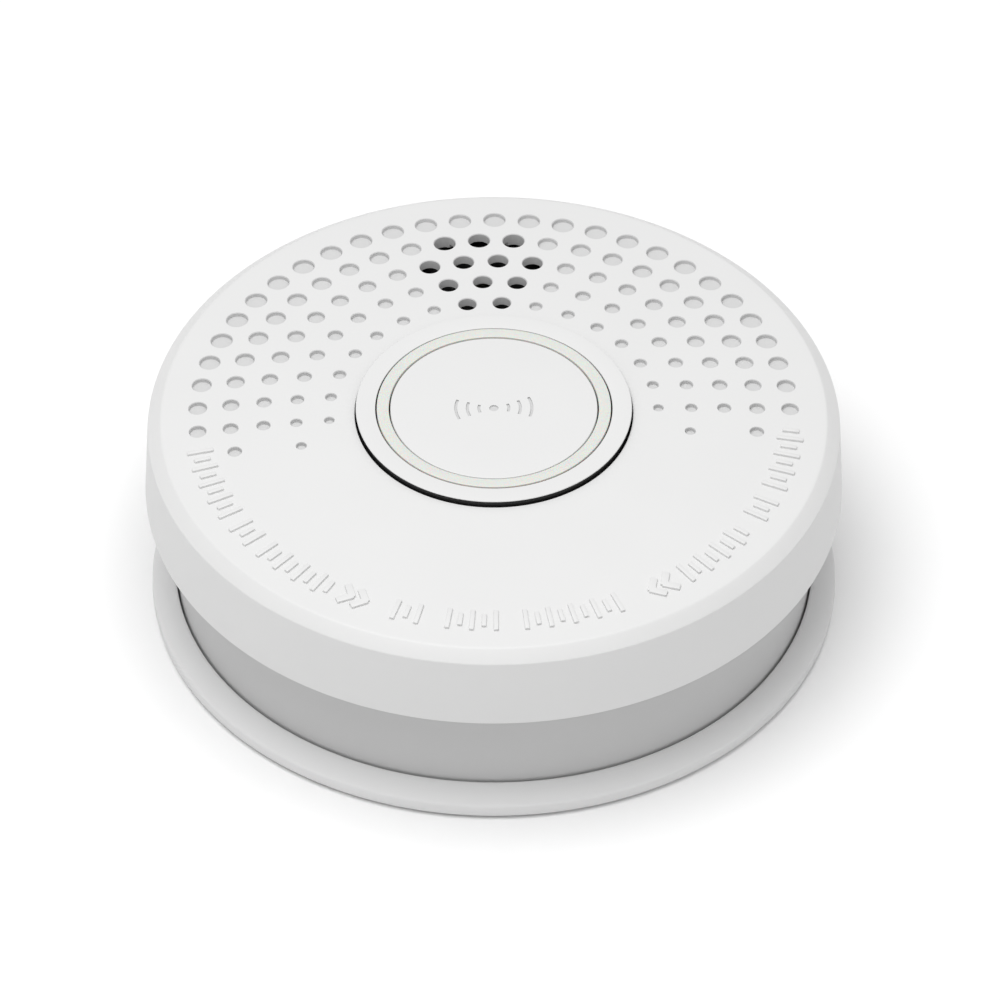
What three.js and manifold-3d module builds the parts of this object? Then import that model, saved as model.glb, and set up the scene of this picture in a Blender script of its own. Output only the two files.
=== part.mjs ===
// A battery smoke alarm, lying on its back: a twist-off alarm head on its ceiling plate.
// Millimetres. The origin is the middle of the plate's ceiling face, +Z points out of the alarm's front,
// and +Y points from the test button to the sound holes.
import * as THREE from "three";
import { mergeVertices } from "three/addons/utils/BufferGeometryUtils.js";
import Module from "manifold-3d";

const wasm = await Module();
wasm.setup();

// ---------------------------------------------------------------- driving dimensions
const ROUND_SIDES = 48; // facets of the large turned parts
const HORN_SIDES = 32;
const SECTOR_SIDES = 8;
const SMALL_SIDES = 12; // facets of rods, holes and other small round parts
const GAP = 0.3; // clearance between neighbouring moulded parts
const SEAT = 0.1; // clearance under a part that is soldered, glued or pressed in place
const GLUE = 0.05; // thickness of glue, or a rest that just clears
const OVERRUN = 1; // how far a cutter runs past what it cuts
const ROOT = 0.5; // how far a joined piece is sunk in its neighbour

// Ceiling plate
const RIM_INSET = 0.9; // of the plate's side from the cover's side
const RIM_SIDE_HEIGHT = 3.1; // of the upright side, below the sloping ring
const RIM_HEIGHT = 5.2; // of the inner lip that the neck sinks into
const RIM_SLOPE_WIDTH = 4.05;
const RIM_EDGE = 1.05; // bevel round the ceiling face
const RIM_WALL = 1.5;
const RIM_CROWN = 2.4; // thickness above the hollow behind the slope
const LIP_LAND = 0.4; // flat top of the lip
const WEB_THICKNESS = 2.2;
const WEB_OPENING_GAP = 0.5; // round the battery door, which opens through the web
const SUPPORT_RIB_INSET = 2.5; // of the rib from the opening
const SUPPORT_RIB_WIDTH = 1.5;
const SCREW_SLOT_COUNT = 4;
const SCREW_SLOT_FIRST_DEGREES = 45;
const SCREW_SLOT_INSET = 4; // of the slots' middle line from the rib
const SCREW_SLOT_WIDTH = 4;
const SCREW_SLOT_DEGREES = 26;

// Bayonet that joins the head to the plate
const HOOK_COUNT = 4;
const HOOK_HALF_DEGREES = 6;
const HOOK_POST = 2; // radial thickness
const HOOK_TONGUE = 3; // radial reach past the post
const HOOK_TONGUE_HEIGHT = 1.9;
const HOOK_INSET = 9.3; // of the posts from the plate's lip
const HOOK_GAP = 0.4; // to the edges of the slots in the floor
const TWIST_DEGREES = 20;
const TWIST_PLAY_DEGREES = 2;

// Rear housing: the neck and the floor of the alarm head
const NECK_GAP = 0.35; // between the neck and the plate's lip
const NECK_DRAFT = 0.55; // the neck narrows by this much towards the front
const NECK_WALL = 1.8;
const FLOOR_LIFT = 3; // the floor's underside above the ceiling
const FLOOR_THICKNESS = 2;
const NECK_EDGE = 0.4; // bevel round the floor
const NECK_TOP_GAP = 0.5; // to the inside of the cover
const WINDOW_COUNT = 12; // smoke inlets, hidden behind the cover's skirt
const WINDOW_HALF_DEGREES = 10;
const WINDOW_SILL = 1; // above the circuit board
const WINDOW_HEAD = 2; // of wall left above each window

// Front cover
const COVER_RADIUS = 60;
const SKIRT_DRAFT = 0.34;
const SKIRT_WALL = 2;
const SKIRT_HEIGHT = 13.5;
const TOP_WALL = 2.5;
const FRONT_ROOM = 14.4; // between the circuit board and the cover, on the axis
const CREASE_INSET = 2.25; // width of the bevel between the side and the dome
const CREASE_DROP = 1.95; // height of that bevel
const DOME_SAG_RADIUS = 610; // the dome is part of a ball of this radius
const DOME_STEPS = [0.3, 0.6, 0.85, 1]; // where the dome's facets meet, from the button's hole to the bevel
const CEILING_STEPS = [0, 0.35, 0.7, 1]; // the same inside, out to the skirt
const BOSS_WALL = 2; // round the screws
const BOSS_ROOT = 1.2; // the same as ROOT, for a sloping ceiling
const PILOT_SPARE = 1; // past the screw's tip

// Sound holes: the middle of a pattern of rings, where ring n has 6 n places round the whole turn
const FIRST_RING = 5;
const RING_PITCH = 5.71;
const SOUND_HOLES_PER_RING = [2, 3, 4, 3];
const SOUND_HOLE_DIAMETER = 3.2;
const SOUND_HOLE_STEP = 0.2; // each ring's holes are this much wider than the ring inside it

// Test button
const BUTTON_RADIUS = 23.95;
const BUTTON_LIFT = 0.72; // of the rim's underside above the cover
const BUTTON_TRAVEL = 0.6;
const BUTTON_SLIT = 0.15; // between the button and the edge of its hole in the cover
const BUTTON_RIM_THICKNESS = 0.45;
const BUTTON_RIM_WIDTH = 3.4;
const CARRIER_GAP = 0.4; // to the edge of the cover's hole
const LIGHT_RING_WIDTH = 2.1;
const LIGHT_RING_GAP = 0.25;
const LIGHT_RING_HEIGHT = 2;
const LIGHT_RING_DROP = 0.1; // below the white rim
const LIGHT_CHANNEL_GAP = 0.2;
const LIGHT_LEG_RADIUS = 0.95;
const LIGHT_ANGLES = [0, 90, 180];
const CAP_THICKNESS = 1.6;
const CARRIER_PLATE = 1.7; // below the light ring's channel
const CARRIER_TAB_REACH = 1.6;
const CARRIER_TAB_THICKNESS = 1.4;
const CARRIER_TAB_POST = 1.5; // radial thickness
const CARRIER_TAB_INSET = 0.1; // of the posts from the carrier's side
const CARRIER_TAB_ANGLES = [30, 150, 270];
const CARRIER_TAB_HALF_DEGREES = 7;
const STEM_RADIUS = 2.6;
const SPRING_RADIUS = 5.2;
const SPRING_WIRE_RADIUS = 0.35;
const SPRING_TURNS = 6;
const SPRING_STEPS_PER_TURN = 14;

// Circuit board and what is soldered on it
const BOARD_THICKNESS = 1.6;
const BOARD_GAP = 0.8; // to the neck
const BATTERY_HEADROOM = 0.7; // under the board
const SWITCH_SIDE = 6.2;
const SWITCH_HEIGHT = 3.4;
const PLUNGER_RADIUS = 1.7;
const PLUNGER_HEIGHT = 8; // the plunger's top above the board
const SWITCH_TRAVEL = 0.25;
const PLUNGER_DEPTH = 0.4; // in the switch when pressed right in
const LED_SIZE = [3.2, 2.8, 1.3];
const CHIP_SIZE = [10, 6.2, 1.7];
const CHIP_LEGS_PER_SIDE = 6;
const CHIP_LEG = { reach: 1, width: 0.5, height: 0.5 };
const CHIP_LIFT = 0.2;
const CAPACITOR_RADIUS = 3.2;
const CAPACITOR_HEIGHT = 7.4;
const CAPACITOR_GROOVE = { low: 1.2, middle: 1.5, high: 1.8, depth: 0.3 };
const CAPACITOR_EDGE = 0.4;
const CAPACITOR_SPACE = 6.48; // between the capacitor and the coil
const COIL_RADIUS = 4.4;
const COIL_HEIGHT = 8;
const COIL_FLANGE = 1.2;
const COIL_WAIST = 0.5; // of the winding inside the flanges
const PARTS_OFFSET = 33; // of the chip, capacitor and coil from the middle of the board

// Smoke chamber
const CHAMBER_MARGIN = 2.8; // to the neck
const CHAMBER_SPRING_GAP = 2;
const CHAMBER_HEIGHT = 10.9;
const CHAMBER_PLATE = 1.5;
const CHAMBER_CAP_RIM = 2.8;
const CHAMBER_CAP_EDGE = 0.8;
const SCREEN_INSET = 0.7; // from the chamber's side
const SCREEN_GAP = 0.25; // to the base
const SCREEN_THICKNESS = 0.4;
const VANE_COUNT = 15;
const VANE_LENGTH = 5;
const VANE_THICKNESS = 0.9;
const VANE_INSET = 0.6; // from the screen
const VANE_TURN_DEGREES = 38;
const OPTIC_RADIUS = 1.5;
const OPTIC_LENGTH = 5.4;
const OPTIC_FLANGE = { reach: 0.3, thickness: 0.8 };
const OPTIC_VANE_GAP = 3.1; // between the vanes and the backs of the emitter and receiver
const EMITTER_DEGREES = 204;
const RECEIVER_DEGREES = 336;

// Horn
const HORN_MARGIN = 0.45; // to the neck and to the button's carrier
const HORN_WALL = 1.5;
const HORN_FLOOR = 1.2;
const HORN_BASE_HEIGHT = 5.7;
const HORN_PORT_RADIUS = 4;
const HORN_SEAT = 1.3; // radial width of the ledge under the piezo disc
const HORN_SEAT_DROP = 1.2; // of that ledge below the base's top
const PIEZO_THICKNESS = 0.3;
const CERAMIC_MARGIN = 4.1; // of bare brass round the ceramic
const GASKET_WIDTH = 2;
const GASKET_THICKNESS = 0.5;
const GASKET_INSET = 0.2;

// 9 V battery, its door and its contacts
const BATTERY_LENGTH = 46.4;
const BATTERY_WIDTH = 26.5;
const BATTERY_THICKNESS = 17.5;
const BATTERY_EDGE = 2.2;
const BATTERY_SHIFT = 1; // towards the hinge, which leaves room for the contacts
const STUD_SPACING = 12.7;
const STUD_HEIGHT = 2;
const STUD_RADII = { positive: 2.9, negative: 3.8 };
const STUD_SIDES = { positive: 16, negative: 6 };
const CONTACT_SIZE = [0.4, 6];
const BAY_WALL = 1.5;
const BAY_GAP = 0.45;
const BAY_TOP_GAP = 0.5; // under the board
const BAY_LATCH_GAP = 0.4; // at the door's free end
const CONTACT_ROOM = 1.6; // past the studs
const DOOR_THICKNESS = 1.6;
const DOOR_INSET = 0.9; // of the door's sides from the bay's walls
const HINGE_RADIUS = 1.3;
const HINGE_PIN_RADIUS = 0.85;
const HINGE_PIN_REACH = 1.7; // past each side of the door
const HINGE_EAR_WALL = 0.8;
const HINGE_EAR = 2.3;
const LATCH_HEIGHT = 3;
const LATCH_THICKNESS = 0.7;
const LABEL_THICKNESS = 0.15;
const LABEL_MARGIN = 3;

// Case screws, driven from the back into the cover's bosses
const SCREW_COUNT = 4;
const SCREW_FIRST_DEGREES = 45;
const SCREW_RADIUS = 1.4;
const SCREW_HEAD_RADIUS = 2.7;
const SCREW_HEAD_HEIGHT = 1.9;
const SCREW_CROWN = { radius: 0.8, height: 0.6 }; // where the head starts to curve, as shares of its size
const SCREW_POINT = 1.5; // height of the tip
const SCREW_LENGTH = 22;
const SCREW_TUBE_WALL = 1.1;
const SCREW_INSET = 6.2; // of the screws from the neck's inner wall
const SCREW_RECESS = 3.8; // of the head above the floor's underside

// ---------------------------------------------------------------- places worked out from those
const rad = THREE.MathUtils.degToRad;
const polar = (r, degrees) => [r * Math.cos(rad(degrees)), r * Math.sin(rad(degrees))];
const around = (count, first = 0) => Array.from({ length: count }, (_, i) => first + (i * 360) / count);

const rimRadius = COVER_RADIUS - RIM_INSET;
const lipRadius = rimRadius - RIM_SLOPE_WIDTH;
const neckRadius = lipRadius - NECK_GAP;
const floorTop = FLOOR_LIFT + FLOOR_THICKNESS;
const neckInner = neckRadius - NECK_DRAFT - NECK_WALL;

const batteryBottom = floorTop + SEAT * 2;
const batteryTop = batteryBottom + BATTERY_THICKNESS;
const boardBottom = batteryTop + BATTERY_HEADROOM;
const boardTop = boardBottom + BOARD_THICKNESS;
const onBoard = boardTop + SEAT;
const boardRadius = neckInner - BOARD_GAP;

const domeTop = boardTop + FRONT_ROOM + TOP_WALL;
const dome = (r) => domeTop - (r * r) / (2 * DOME_SAG_RADIUS);
const creaseRadius = COVER_RADIUS - CREASE_INSET;
const shoulderHeight = dome(creaseRadius) - CREASE_DROP;
const skirtBottom = shoulderHeight - SKIRT_HEIGHT;
const coverCeiling = (r) => dome(r) - TOP_WALL;
const neckTop = coverCeiling(neckRadius) - NECK_TOP_GAP;

const holeRadius = BUTTON_RADIUS + BUTTON_SLIT;
const carrierRadius = holeRadius - CARRIER_GAP;
const buttonTop = dome(holeRadius) + BUTTON_LIFT + BUTTON_RIM_THICKNESS;
const rimInner = BUTTON_RADIUS - BUTTON_RIM_WIDTH;
const lightOuter = rimInner - LIGHT_RING_GAP;
const lightInner = lightOuter - LIGHT_RING_WIDTH;
const capRadius = lightInner - LIGHT_RING_GAP;
const legCircle = (lightInner + lightOuter) / 2;
const lightTop = buttonTop - LIGHT_RING_DROP;
const channelFloor = lightTop - LIGHT_RING_HEIGHT - SEAT;
const carrierUnderside = channelFloor - CARRIER_PLATE;

const chamberInner = SPRING_RADIUS + SPRING_WIRE_RADIUS + CHAMBER_SPRING_GAP;
const chamberRadius = (neckInner - CHAMBER_MARGIN - chamberInner) / 2;
const chamberY = -(chamberInner + chamberRadius);
const hornRadius = (neckInner - carrierRadius) / 2 - HORN_MARGIN;
const hornY = (neckInner + carrierRadius) / 2;
const screwCircle = neckInner - SCREW_INSET;
const screwSpots = around(SCREW_COUNT, SCREW_FIRST_DEGREES).map((a) => polar(screwCircle, a));
const tubeRadius = SCREW_HEAD_RADIUS + GAP + SCREW_TUBE_WALL;
const headLedge = FLOOR_LIFT + SCREW_RECESS + SCREW_HEAD_HEIGHT;

const hookInner = lipRadius - HOOK_INSET;
const hookAngles = around(HOOK_COUNT);

const batteryX = [-BATTERY_LENGTH / 2 - BATTERY_SHIFT, BATTERY_LENGTH / 2 - BATTERY_SHIFT];
const bayX = [batteryX[0] - BAY_GAP, batteryX[1] + STUD_HEIGHT + CONTACT_ROOM];
const bayHalf = BATTERY_WIDTH / 2 + BAY_GAP;
const hingeX = bayX[0] - BAY_WALL - HINGE_RADIUS + SEAT;
const hingeZ = FLOOR_LIFT + HINGE_RADIUS + SEAT;
const doorHalf = bayHalf - DOOR_INSET;
const openingRadius = Math.hypot(-hingeX + HINGE_RADIUS + SEAT, doorHalf) + WEB_OPENING_GAP;
const ribRadius = openingRadius + SUPPORT_RIB_INSET;
const screwSlotRadius = ribRadius + SUPPORT_RIB_WIDTH + SCREW_SLOT_INSET;

// ---------------------------------------------------------------- solids
// A closed three.js geometry as a manifold solid.
function solid(geometry) {
  const bare = geometry.index ? geometry.toNonIndexed() : geometry.clone();
  bare.deleteAttribute("normal");
  bare.deleteAttribute("uv");
  const merged = mergeVertices(bare, 1e-4);
  const vertProperties = new Float32Array(merged.attributes.position.array);
  const triVerts = new Uint32Array(merged.index.array);
  return new wasm.Manifold(new wasm.Mesh({ numProp: 3, vertProperties, triVerts }));
}

// A manifold solid as a flat-shaded three.js geometry.
function geometryOf(manifold) {
  const mesh = manifold.getMesh();
  const places = new Float32Array(mesh.numVert * 3);
  for (let i = 0; i < mesh.numVert; i++) {
    places.set(mesh.vertProperties.subarray(i * mesh.numProp, i * mesh.numProp + 3), i * 3);
  }
  const indexed = new THREE.BufferGeometry()
    .setAttribute("position", new THREE.BufferAttribute(places, 3))
    .setIndex(new THREE.BufferAttribute(mesh.triVerts, 1));
  const flat = indexed.toNonIndexed();
  flat.computeVertexNormals();
  return flat;
}

const join = (...parts) => parts.flat().reduce((a, b) => a.add(b));
const cut = (body, ...tools) => tools.flat().reduce((a, b) => a.subtract(b), body);

// Turns a closed outline of [radius, height] points, listed anticlockwise, about the Z axis through x, y.
function turned(outline, { sides = ROUND_SIDES, x = 0, y = 0 } = {}) {
  const closed = outline[0][0] === 0 ? outline : [...outline, outline[0]];
  const points = closed.map(([r, z]) => new THREE.Vector2(r, z));
  return solid(new THREE.LatheGeometry(points, sides).rotateX(Math.PI / 2).translate(x, y, 0));
}

// A ring or, with no inner radius, a disc or rod.
function ring(inner, outer, low, high, place = {}) {
  return turned([[inner, low], [outer, low], [outer, high], [inner, high]], place);
}

const rod = (x, y, radius, low, high, sides = SMALL_SIDES) => ring(0, radius, low, high, { sides, x, y });

// A block from its lowest to its highest corner.
function block([x0, x1], [y0, y1], [z0, z1]) {
  const middle = [(x0 + x1) / 2, (y0 + y1) / 2, (z0 + z1) / 2];
  return solid(new THREE.BoxGeometry(x1 - x0, y1 - y0, z1 - z0).translate(...middle));
}

// A piece of a ring between two angles.
function sector(inner, outer, low, high, from, to, sides = SECTOR_SIDES) {
  const shape = new THREE.Shape();
  shape.absarc(0, 0, outer, rad(from), rad(to), false);
  shape.absarc(0, 0, inner, rad(to), rad(from), true);
  const settings = { depth: high - low, bevelEnabled: false, curveSegments: sides };
  return solid(new THREE.ExtrudeGeometry(shape, settings).translate(0, 0, low));
}

// A rod along Y.
function crossRod(x, z, radius, fromY, toY, sides = SMALL_SIDES) {
  const bar = new THREE.CylinderGeometry(radius, radius, toY - fromY, sides);
  return solid(bar.translate(x, (fromY + toY) / 2, z));
}

// ---------------------------------------------------------------- the model
const model = new THREE.Group();
const FINISHES = {
  white: { color: 0xeeeeec, roughness: 0.45, metalness: 0 },
  black: { color: 0x161616, roughness: 0.5, metalness: 0 },
  milky: { color: 0xe3e3dc, roughness: 0.3, metalness: 0 },
  board: { color: 0x1f5a36, roughness: 0.5, metalness: 0 },
  metal: { color: 0xb9bcc0, roughness: 0.3, metalness: 1 },
  brass: { color: 0xc9a552, roughness: 0.35, metalness: 1 },
  ceramic: { color: 0xe6e2d6, roughness: 0.6, metalness: 0 },
  foam: { color: 0x3a3a3c, roughness: 0.95, metalness: 0 },
  paper: { color: 0xd9dadb, roughness: 0.7, metalness: 0 },
  copper: { color: 0xa55b32, roughness: 0.35, metalness: 1 },
  jacket: { color: 0x5c6166, roughness: 0.35, metalness: 0.6 },
  lens: { color: 0xcfe0ee, roughness: 0.1, metalness: 0 },
};
function add(name, body, finish) {
  const mesh = new THREE.Mesh(geometryOf(body), new THREE.MeshStandardMaterial(FINISHES[finish]));
  mesh.name = name;
  model.add(mesh);
}

// ---- ceiling plate: web, sloping rim, bayonet hooks and screw slots
function ceilingPlate() {
  const groove = lipRadius + RIM_WALL;
  const slope = (RIM_HEIGHT - RIM_SIDE_HEIGHT) / (RIM_SLOPE_WIDTH - LIP_LAND);
  const grooveEnd = rimRadius - RIM_WALL;
  const shell = turned([
    [openingRadius, 0],
    [groove, 0],
    [groove, RIM_HEIGHT - RIM_CROWN],
    [grooveEnd, RIM_HEIGHT - RIM_CROWN - slope * (grooveEnd - groove)],
    [grooveEnd, 0],
    [rimRadius - RIM_EDGE, 0],
    [rimRadius, RIM_EDGE],
    [rimRadius, RIM_SIDE_HEIGHT],
    [lipRadius + LIP_LAND, RIM_HEIGHT],
    [lipRadius, RIM_HEIGHT],
    [lipRadius, WEB_THICKNESS],
    [openingRadius, WEB_THICKNESS],
  ]);
  const rib = ring(ribRadius, ribRadius + SUPPORT_RIB_WIDTH, WEB_THICKNESS / 2, FLOOR_LIFT - SEAT);
  const hooks = hookAngles.map((a) => {
    const [from, to] = [a - HOOK_HALF_DEGREES, a + HOOK_HALF_DEGREES];
    const tongueLow = floorTop + GAP;
    const top = tongueLow + HOOK_TONGUE_HEIGHT;
    const postOuter = hookInner + HOOK_POST;
    const post = sector(hookInner, postOuter, WEB_THICKNESS / 2, top, from, to);
    const tongue = sector(postOuter - HOOK_POST / 2, postOuter + HOOK_TONGUE, tongueLow, top, from, to);
    return join(post, tongue);
  });
  const slots = around(SCREW_SLOT_COUNT, SCREW_SLOT_FIRST_DEGREES).map((a) => {
    const half = SCREW_SLOT_DEGREES / 2;
    const [inner, outer] = [screwSlotRadius - SCREW_SLOT_WIDTH / 2, screwSlotRadius + SCREW_SLOT_WIDTH / 2];
    const ends = [a - half, a + half].map((end) => {
      const [x, y] = polar(screwSlotRadius, end);
      return rod(x, y, SCREW_SLOT_WIDTH / 2, -OVERRUN, WEB_THICKNESS + OVERRUN);
    });
    return join(sector(inner, outer, -OVERRUN, WEB_THICKNESS + OVERRUN, a - half, a + half), ends);
  });
  add("ceiling_plate", cut(join(shell, rib, hooks), slots), "white");
}

// ---- rear housing: neck with smoke windows, floor, battery bay and screw tubes
function rearHousing() {
  const shell = turned([
    [0, FLOOR_LIFT],
    [neckRadius - NECK_EDGE, FLOOR_LIFT],
    [neckRadius, FLOOR_LIFT + NECK_EDGE],
    [neckRadius - NECK_DRAFT, neckTop],
    [neckInner, neckTop],
    [neckInner, floorTop],
    [0, floorTop],
  ]);
  const windowLow = boardTop + WINDOW_SILL;
  const windowHigh = neckTop - WINDOW_HEAD;
  const windows = around(WINDOW_COUNT, 180 / WINDOW_COUNT).map((a) => {
    const [from, to] = [a - WINDOW_HALF_DEGREES, a + WINDOW_HALF_DEGREES];
    return sector(neckInner - OVERRUN, neckRadius + OVERRUN, windowLow, windowHigh, from, to);
  });
  const slots = hookAngles.map((a) => {
    const lockEnd = a + HOOK_HALF_DEGREES + TWIST_PLAY_DEGREES;
    const openEnd = a - TWIST_DEGREES - HOOK_HALF_DEGREES - TWIST_PLAY_DEGREES;
    const windowEnd = a - TWIST_DEGREES + HOOK_HALF_DEGREES + TWIST_PLAY_DEGREES;
    const [inner, postOuter] = [hookInner - HOOK_GAP, hookInner + HOOK_POST + HOOK_GAP];
    const [low, high] = [FLOOR_LIFT - OVERRUN, floorTop + OVERRUN];
    const narrow = sector(inner, postOuter, low, high, openEnd, lockEnd, SMALL_SIDES);
    const entry = sector(inner, postOuter + HOOK_TONGUE, low, high, openEnd, windowEnd);
    return join(narrow, entry);
  });
  const bayTop = boardBottom - BAY_TOP_GAP;
  const wallHalf = bayHalf + BAY_WALL;
  const bay = cut(
    block([bayX[0] - BAY_WALL, bayX[1] + BAY_WALL], [-wallHalf, wallHalf], [floorTop - ROOT, bayTop]),
    block(bayX, [-bayHalf, bayHalf], [FLOOR_LIFT - OVERRUN, bayTop + OVERRUN]),
  );
  const hingePocket = block(
    [hingeX - HINGE_RADIUS - GAP, bayX[0] + SEAT],
    [-doorHalf - GAP, doorHalf + GAP],
    [FLOOR_LIFT - OVERRUN, hingeZ + HINGE_RADIUS + GAP],
  );
  const opening = block(
    [bayX[0], bayX[1] + BAY_LATCH_GAP],
    [-bayHalf, bayHalf],
    [FLOOR_LIFT - OVERRUN, floorTop + ROOT],
  );
  const ears = [-1, 1].map((side) => {
    const near = side * (doorHalf + GAP);
    const far = side * (doorHalf + GAP + HINGE_EAR);
    const span = [Math.min(near, far), Math.max(near, far)];
    const earRadius = HINGE_RADIUS + HINGE_EAR_WALL;
    return block([hingeX - earRadius, hingeX + earRadius], span, [FLOOR_LIFT, hingeZ + earRadius]);
  });
  const pinEnd = doorHalf + HINGE_PIN_REACH + GAP;
  const pinHole = crossRod(hingeX, hingeZ, HINGE_PIN_RADIUS + GAP, -pinEnd, pinEnd);
  const tubes = screwSpots.map(([x, y]) => rod(x, y, tubeRadius, floorTop - ROOT, boardBottom - GAP));
  const bores = screwSpots.flatMap(([x, y]) => [
    rod(x, y, SCREW_RADIUS + GAP, FLOOR_LIFT - OVERRUN, boardBottom + OVERRUN),
    rod(x, y, SCREW_HEAD_RADIUS + GAP, FLOOR_LIFT - OVERRUN, headLedge + SEAT),
  ]);
  const body = join(cut(shell, opening, hingePocket), cut(bay, hingePocket), ears, tubes);
  add("rear_housing", cut(body, windows, slots, pinHole, bores), "white");
}

// ---- front cover: dome, bevel and skirt, with sound holes and screw bosses
const soundHoles = SOUND_HOLES_PER_RING.flatMap((count, i) => {
  const ringNumber = FIRST_RING + i;
  const step = 60 / ringNumber;
  const places = Array.from({ length: count }, (_, j) => 90 + (j - (count - 1) / 2) * step);
  const radius = (SOUND_HOLE_DIAMETER + SOUND_HOLE_STEP * i) / 2;
  return places.map((a) => [...polar(ringNumber * RING_PITCH, a), radius]);
});
function frontCover() {
  const domeRadii = [0, ...DOME_STEPS].map((t) => holeRadius + t * (creaseRadius - holeRadius));
  const innerRadius = COVER_RADIUS - SKIRT_WALL;
  const ceilingRadii = CEILING_STEPS.map((t) => holeRadius + t * (innerRadius - holeRadius));
  const shell = turned([
    ...ceilingRadii.map((r) => [r, coverCeiling(r)]),
    [COVER_RADIUS + SKIRT_DRAFT - SKIRT_WALL, skirtBottom],
    [COVER_RADIUS + SKIRT_DRAFT, skirtBottom],
    [COVER_RADIUS, shoulderHeight],
    ...domeRadii.reverse().map((r) => [r, dome(r)]),
  ]);
  const bossRadius = SCREW_RADIUS + BOSS_WALL;
  const bossTop = coverCeiling(screwCircle + bossRadius) + BOSS_ROOT;
  const bosses = screwSpots.map(([x, y]) => rod(x, y, bossRadius, boardTop + GAP, bossTop));
  const pilotEnd = headLedge + SCREW_LENGTH + PILOT_SPARE;
  const pilots = screwSpots.map(([x, y]) => rod(x, y, SCREW_RADIUS + SEAT, boardTop, pilotEnd));
  const holes = soundHoles.map(([x, y, r]) => rod(x, y, r, coverCeiling(COVER_RADIUS), domeTop + OVERRUN));
  add("front_cover", cut(join(shell, bosses), pilots, holes), "white");
}

// ---- test button: white rim and cap, milky light ring, black carrier with its stem
function testButton() {
  add("button_rim", ring(rimInner, BUTTON_RADIUS, buttonTop - BUTTON_RIM_THICKNESS, buttonTop), "white");
  add("button_cap", ring(0, capRadius, buttonTop - CAP_THICKNESS, buttonTop), "white");
  const legFoot = onBoard + LED_SIZE[2] + GAP + BUTTON_TRAVEL;
  const legs = LIGHT_ANGLES.map((a) =>
    rod(...polar(legCircle, a), LIGHT_LEG_RADIUS, legFoot, lightTop - LIGHT_RING_HEIGHT / 2),
  );
  const lightRing = ring(lightInner, lightOuter, lightTop - LIGHT_RING_HEIGHT, lightTop);
  add("light_guide", join(lightRing, legs), "milky");

  const capSeat = buttonTop - CAP_THICKNESS - SEAT;
  const disc = turned([
    [0, carrierUnderside],
    [carrierRadius, carrierUnderside],
    [carrierRadius, buttonTop - BUTTON_RIM_THICKNESS - SEAT],
    [lightOuter + LIGHT_CHANNEL_GAP, buttonTop - BUTTON_RIM_THICKNESS - SEAT],
    [lightOuter + LIGHT_CHANNEL_GAP, channelFloor],
    [lightInner - LIGHT_CHANNEL_GAP, channelFloor],
    [lightInner - LIGHT_CHANNEL_GAP, capSeat],
    [0, capSeat],
  ]);
  const tabTop = coverCeiling(holeRadius + CARRIER_TAB_REACH) - GAP;
  const tabs = CARRIER_TAB_ANGLES.map((a) => {
    const [from, to] = [a - CARRIER_TAB_HALF_DEGREES, a + CARRIER_TAB_HALF_DEGREES];
    const low = tabTop - CARRIER_TAB_THICKNESS;
    const outer = carrierRadius - CARRIER_TAB_INSET;
    const inner = outer - CARRIER_TAB_POST;
    const post = sector(inner, outer, low, carrierUnderside + ROOT, from, to);
    return join(post, sector(inner, holeRadius + CARRIER_TAB_REACH, low, tabTop, from, to));
  });
  const stemFoot = boardTop + PLUNGER_HEIGHT + BUTTON_TRAVEL - SWITCH_TRAVEL + GLUE;
  const stem = rod(0, 0, STEM_RADIUS, stemFoot, carrierUnderside + ROOT);
  const [holeLow, holeHigh] = [carrierUnderside - OVERRUN, channelFloor + OVERRUN];
  const legHoles = LIGHT_ANGLES.map((a) =>
    rod(...polar(legCircle, a), LIGHT_LEG_RADIUS + GAP / 2, holeLow, holeHigh),
  );
  add("button_carrier", cut(join(disc, tabs, stem), legHoles), "black");
}

// ---- return spring, standing on the board round the switch
class Helix extends THREE.Curve {
  constructor(radius, low, high, turns) {
    super();
    Object.assign(this, { radius, low, high, turns });
  }
  getPoint(t, target = new THREE.Vector3()) {
    const angle = t * this.turns * 2 * Math.PI;
    const z = this.low + t * (this.high - this.low);
    return target.set(this.radius * Math.cos(angle), this.radius * Math.sin(angle), z);
  }
}
function returnSpring() {
  const section = new THREE.Shape();
  section.absarc(0, 0, SPRING_WIRE_RADIUS, 0, 2 * Math.PI, false);
  const [low, high] = [onBoard + SPRING_WIRE_RADIUS, carrierUnderside - SEAT - SPRING_WIRE_RADIUS];
  const path = new Helix(SPRING_RADIUS, low, high, SPRING_TURNS);
  const settings = { steps: SPRING_TURNS * SPRING_STEPS_PER_TURN, curveSegments: 3, bevelEnabled: false, extrudePath: path };
  add("return_spring", solid(new THREE.ExtrudeGeometry(section, settings)), "metal");
}

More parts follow.
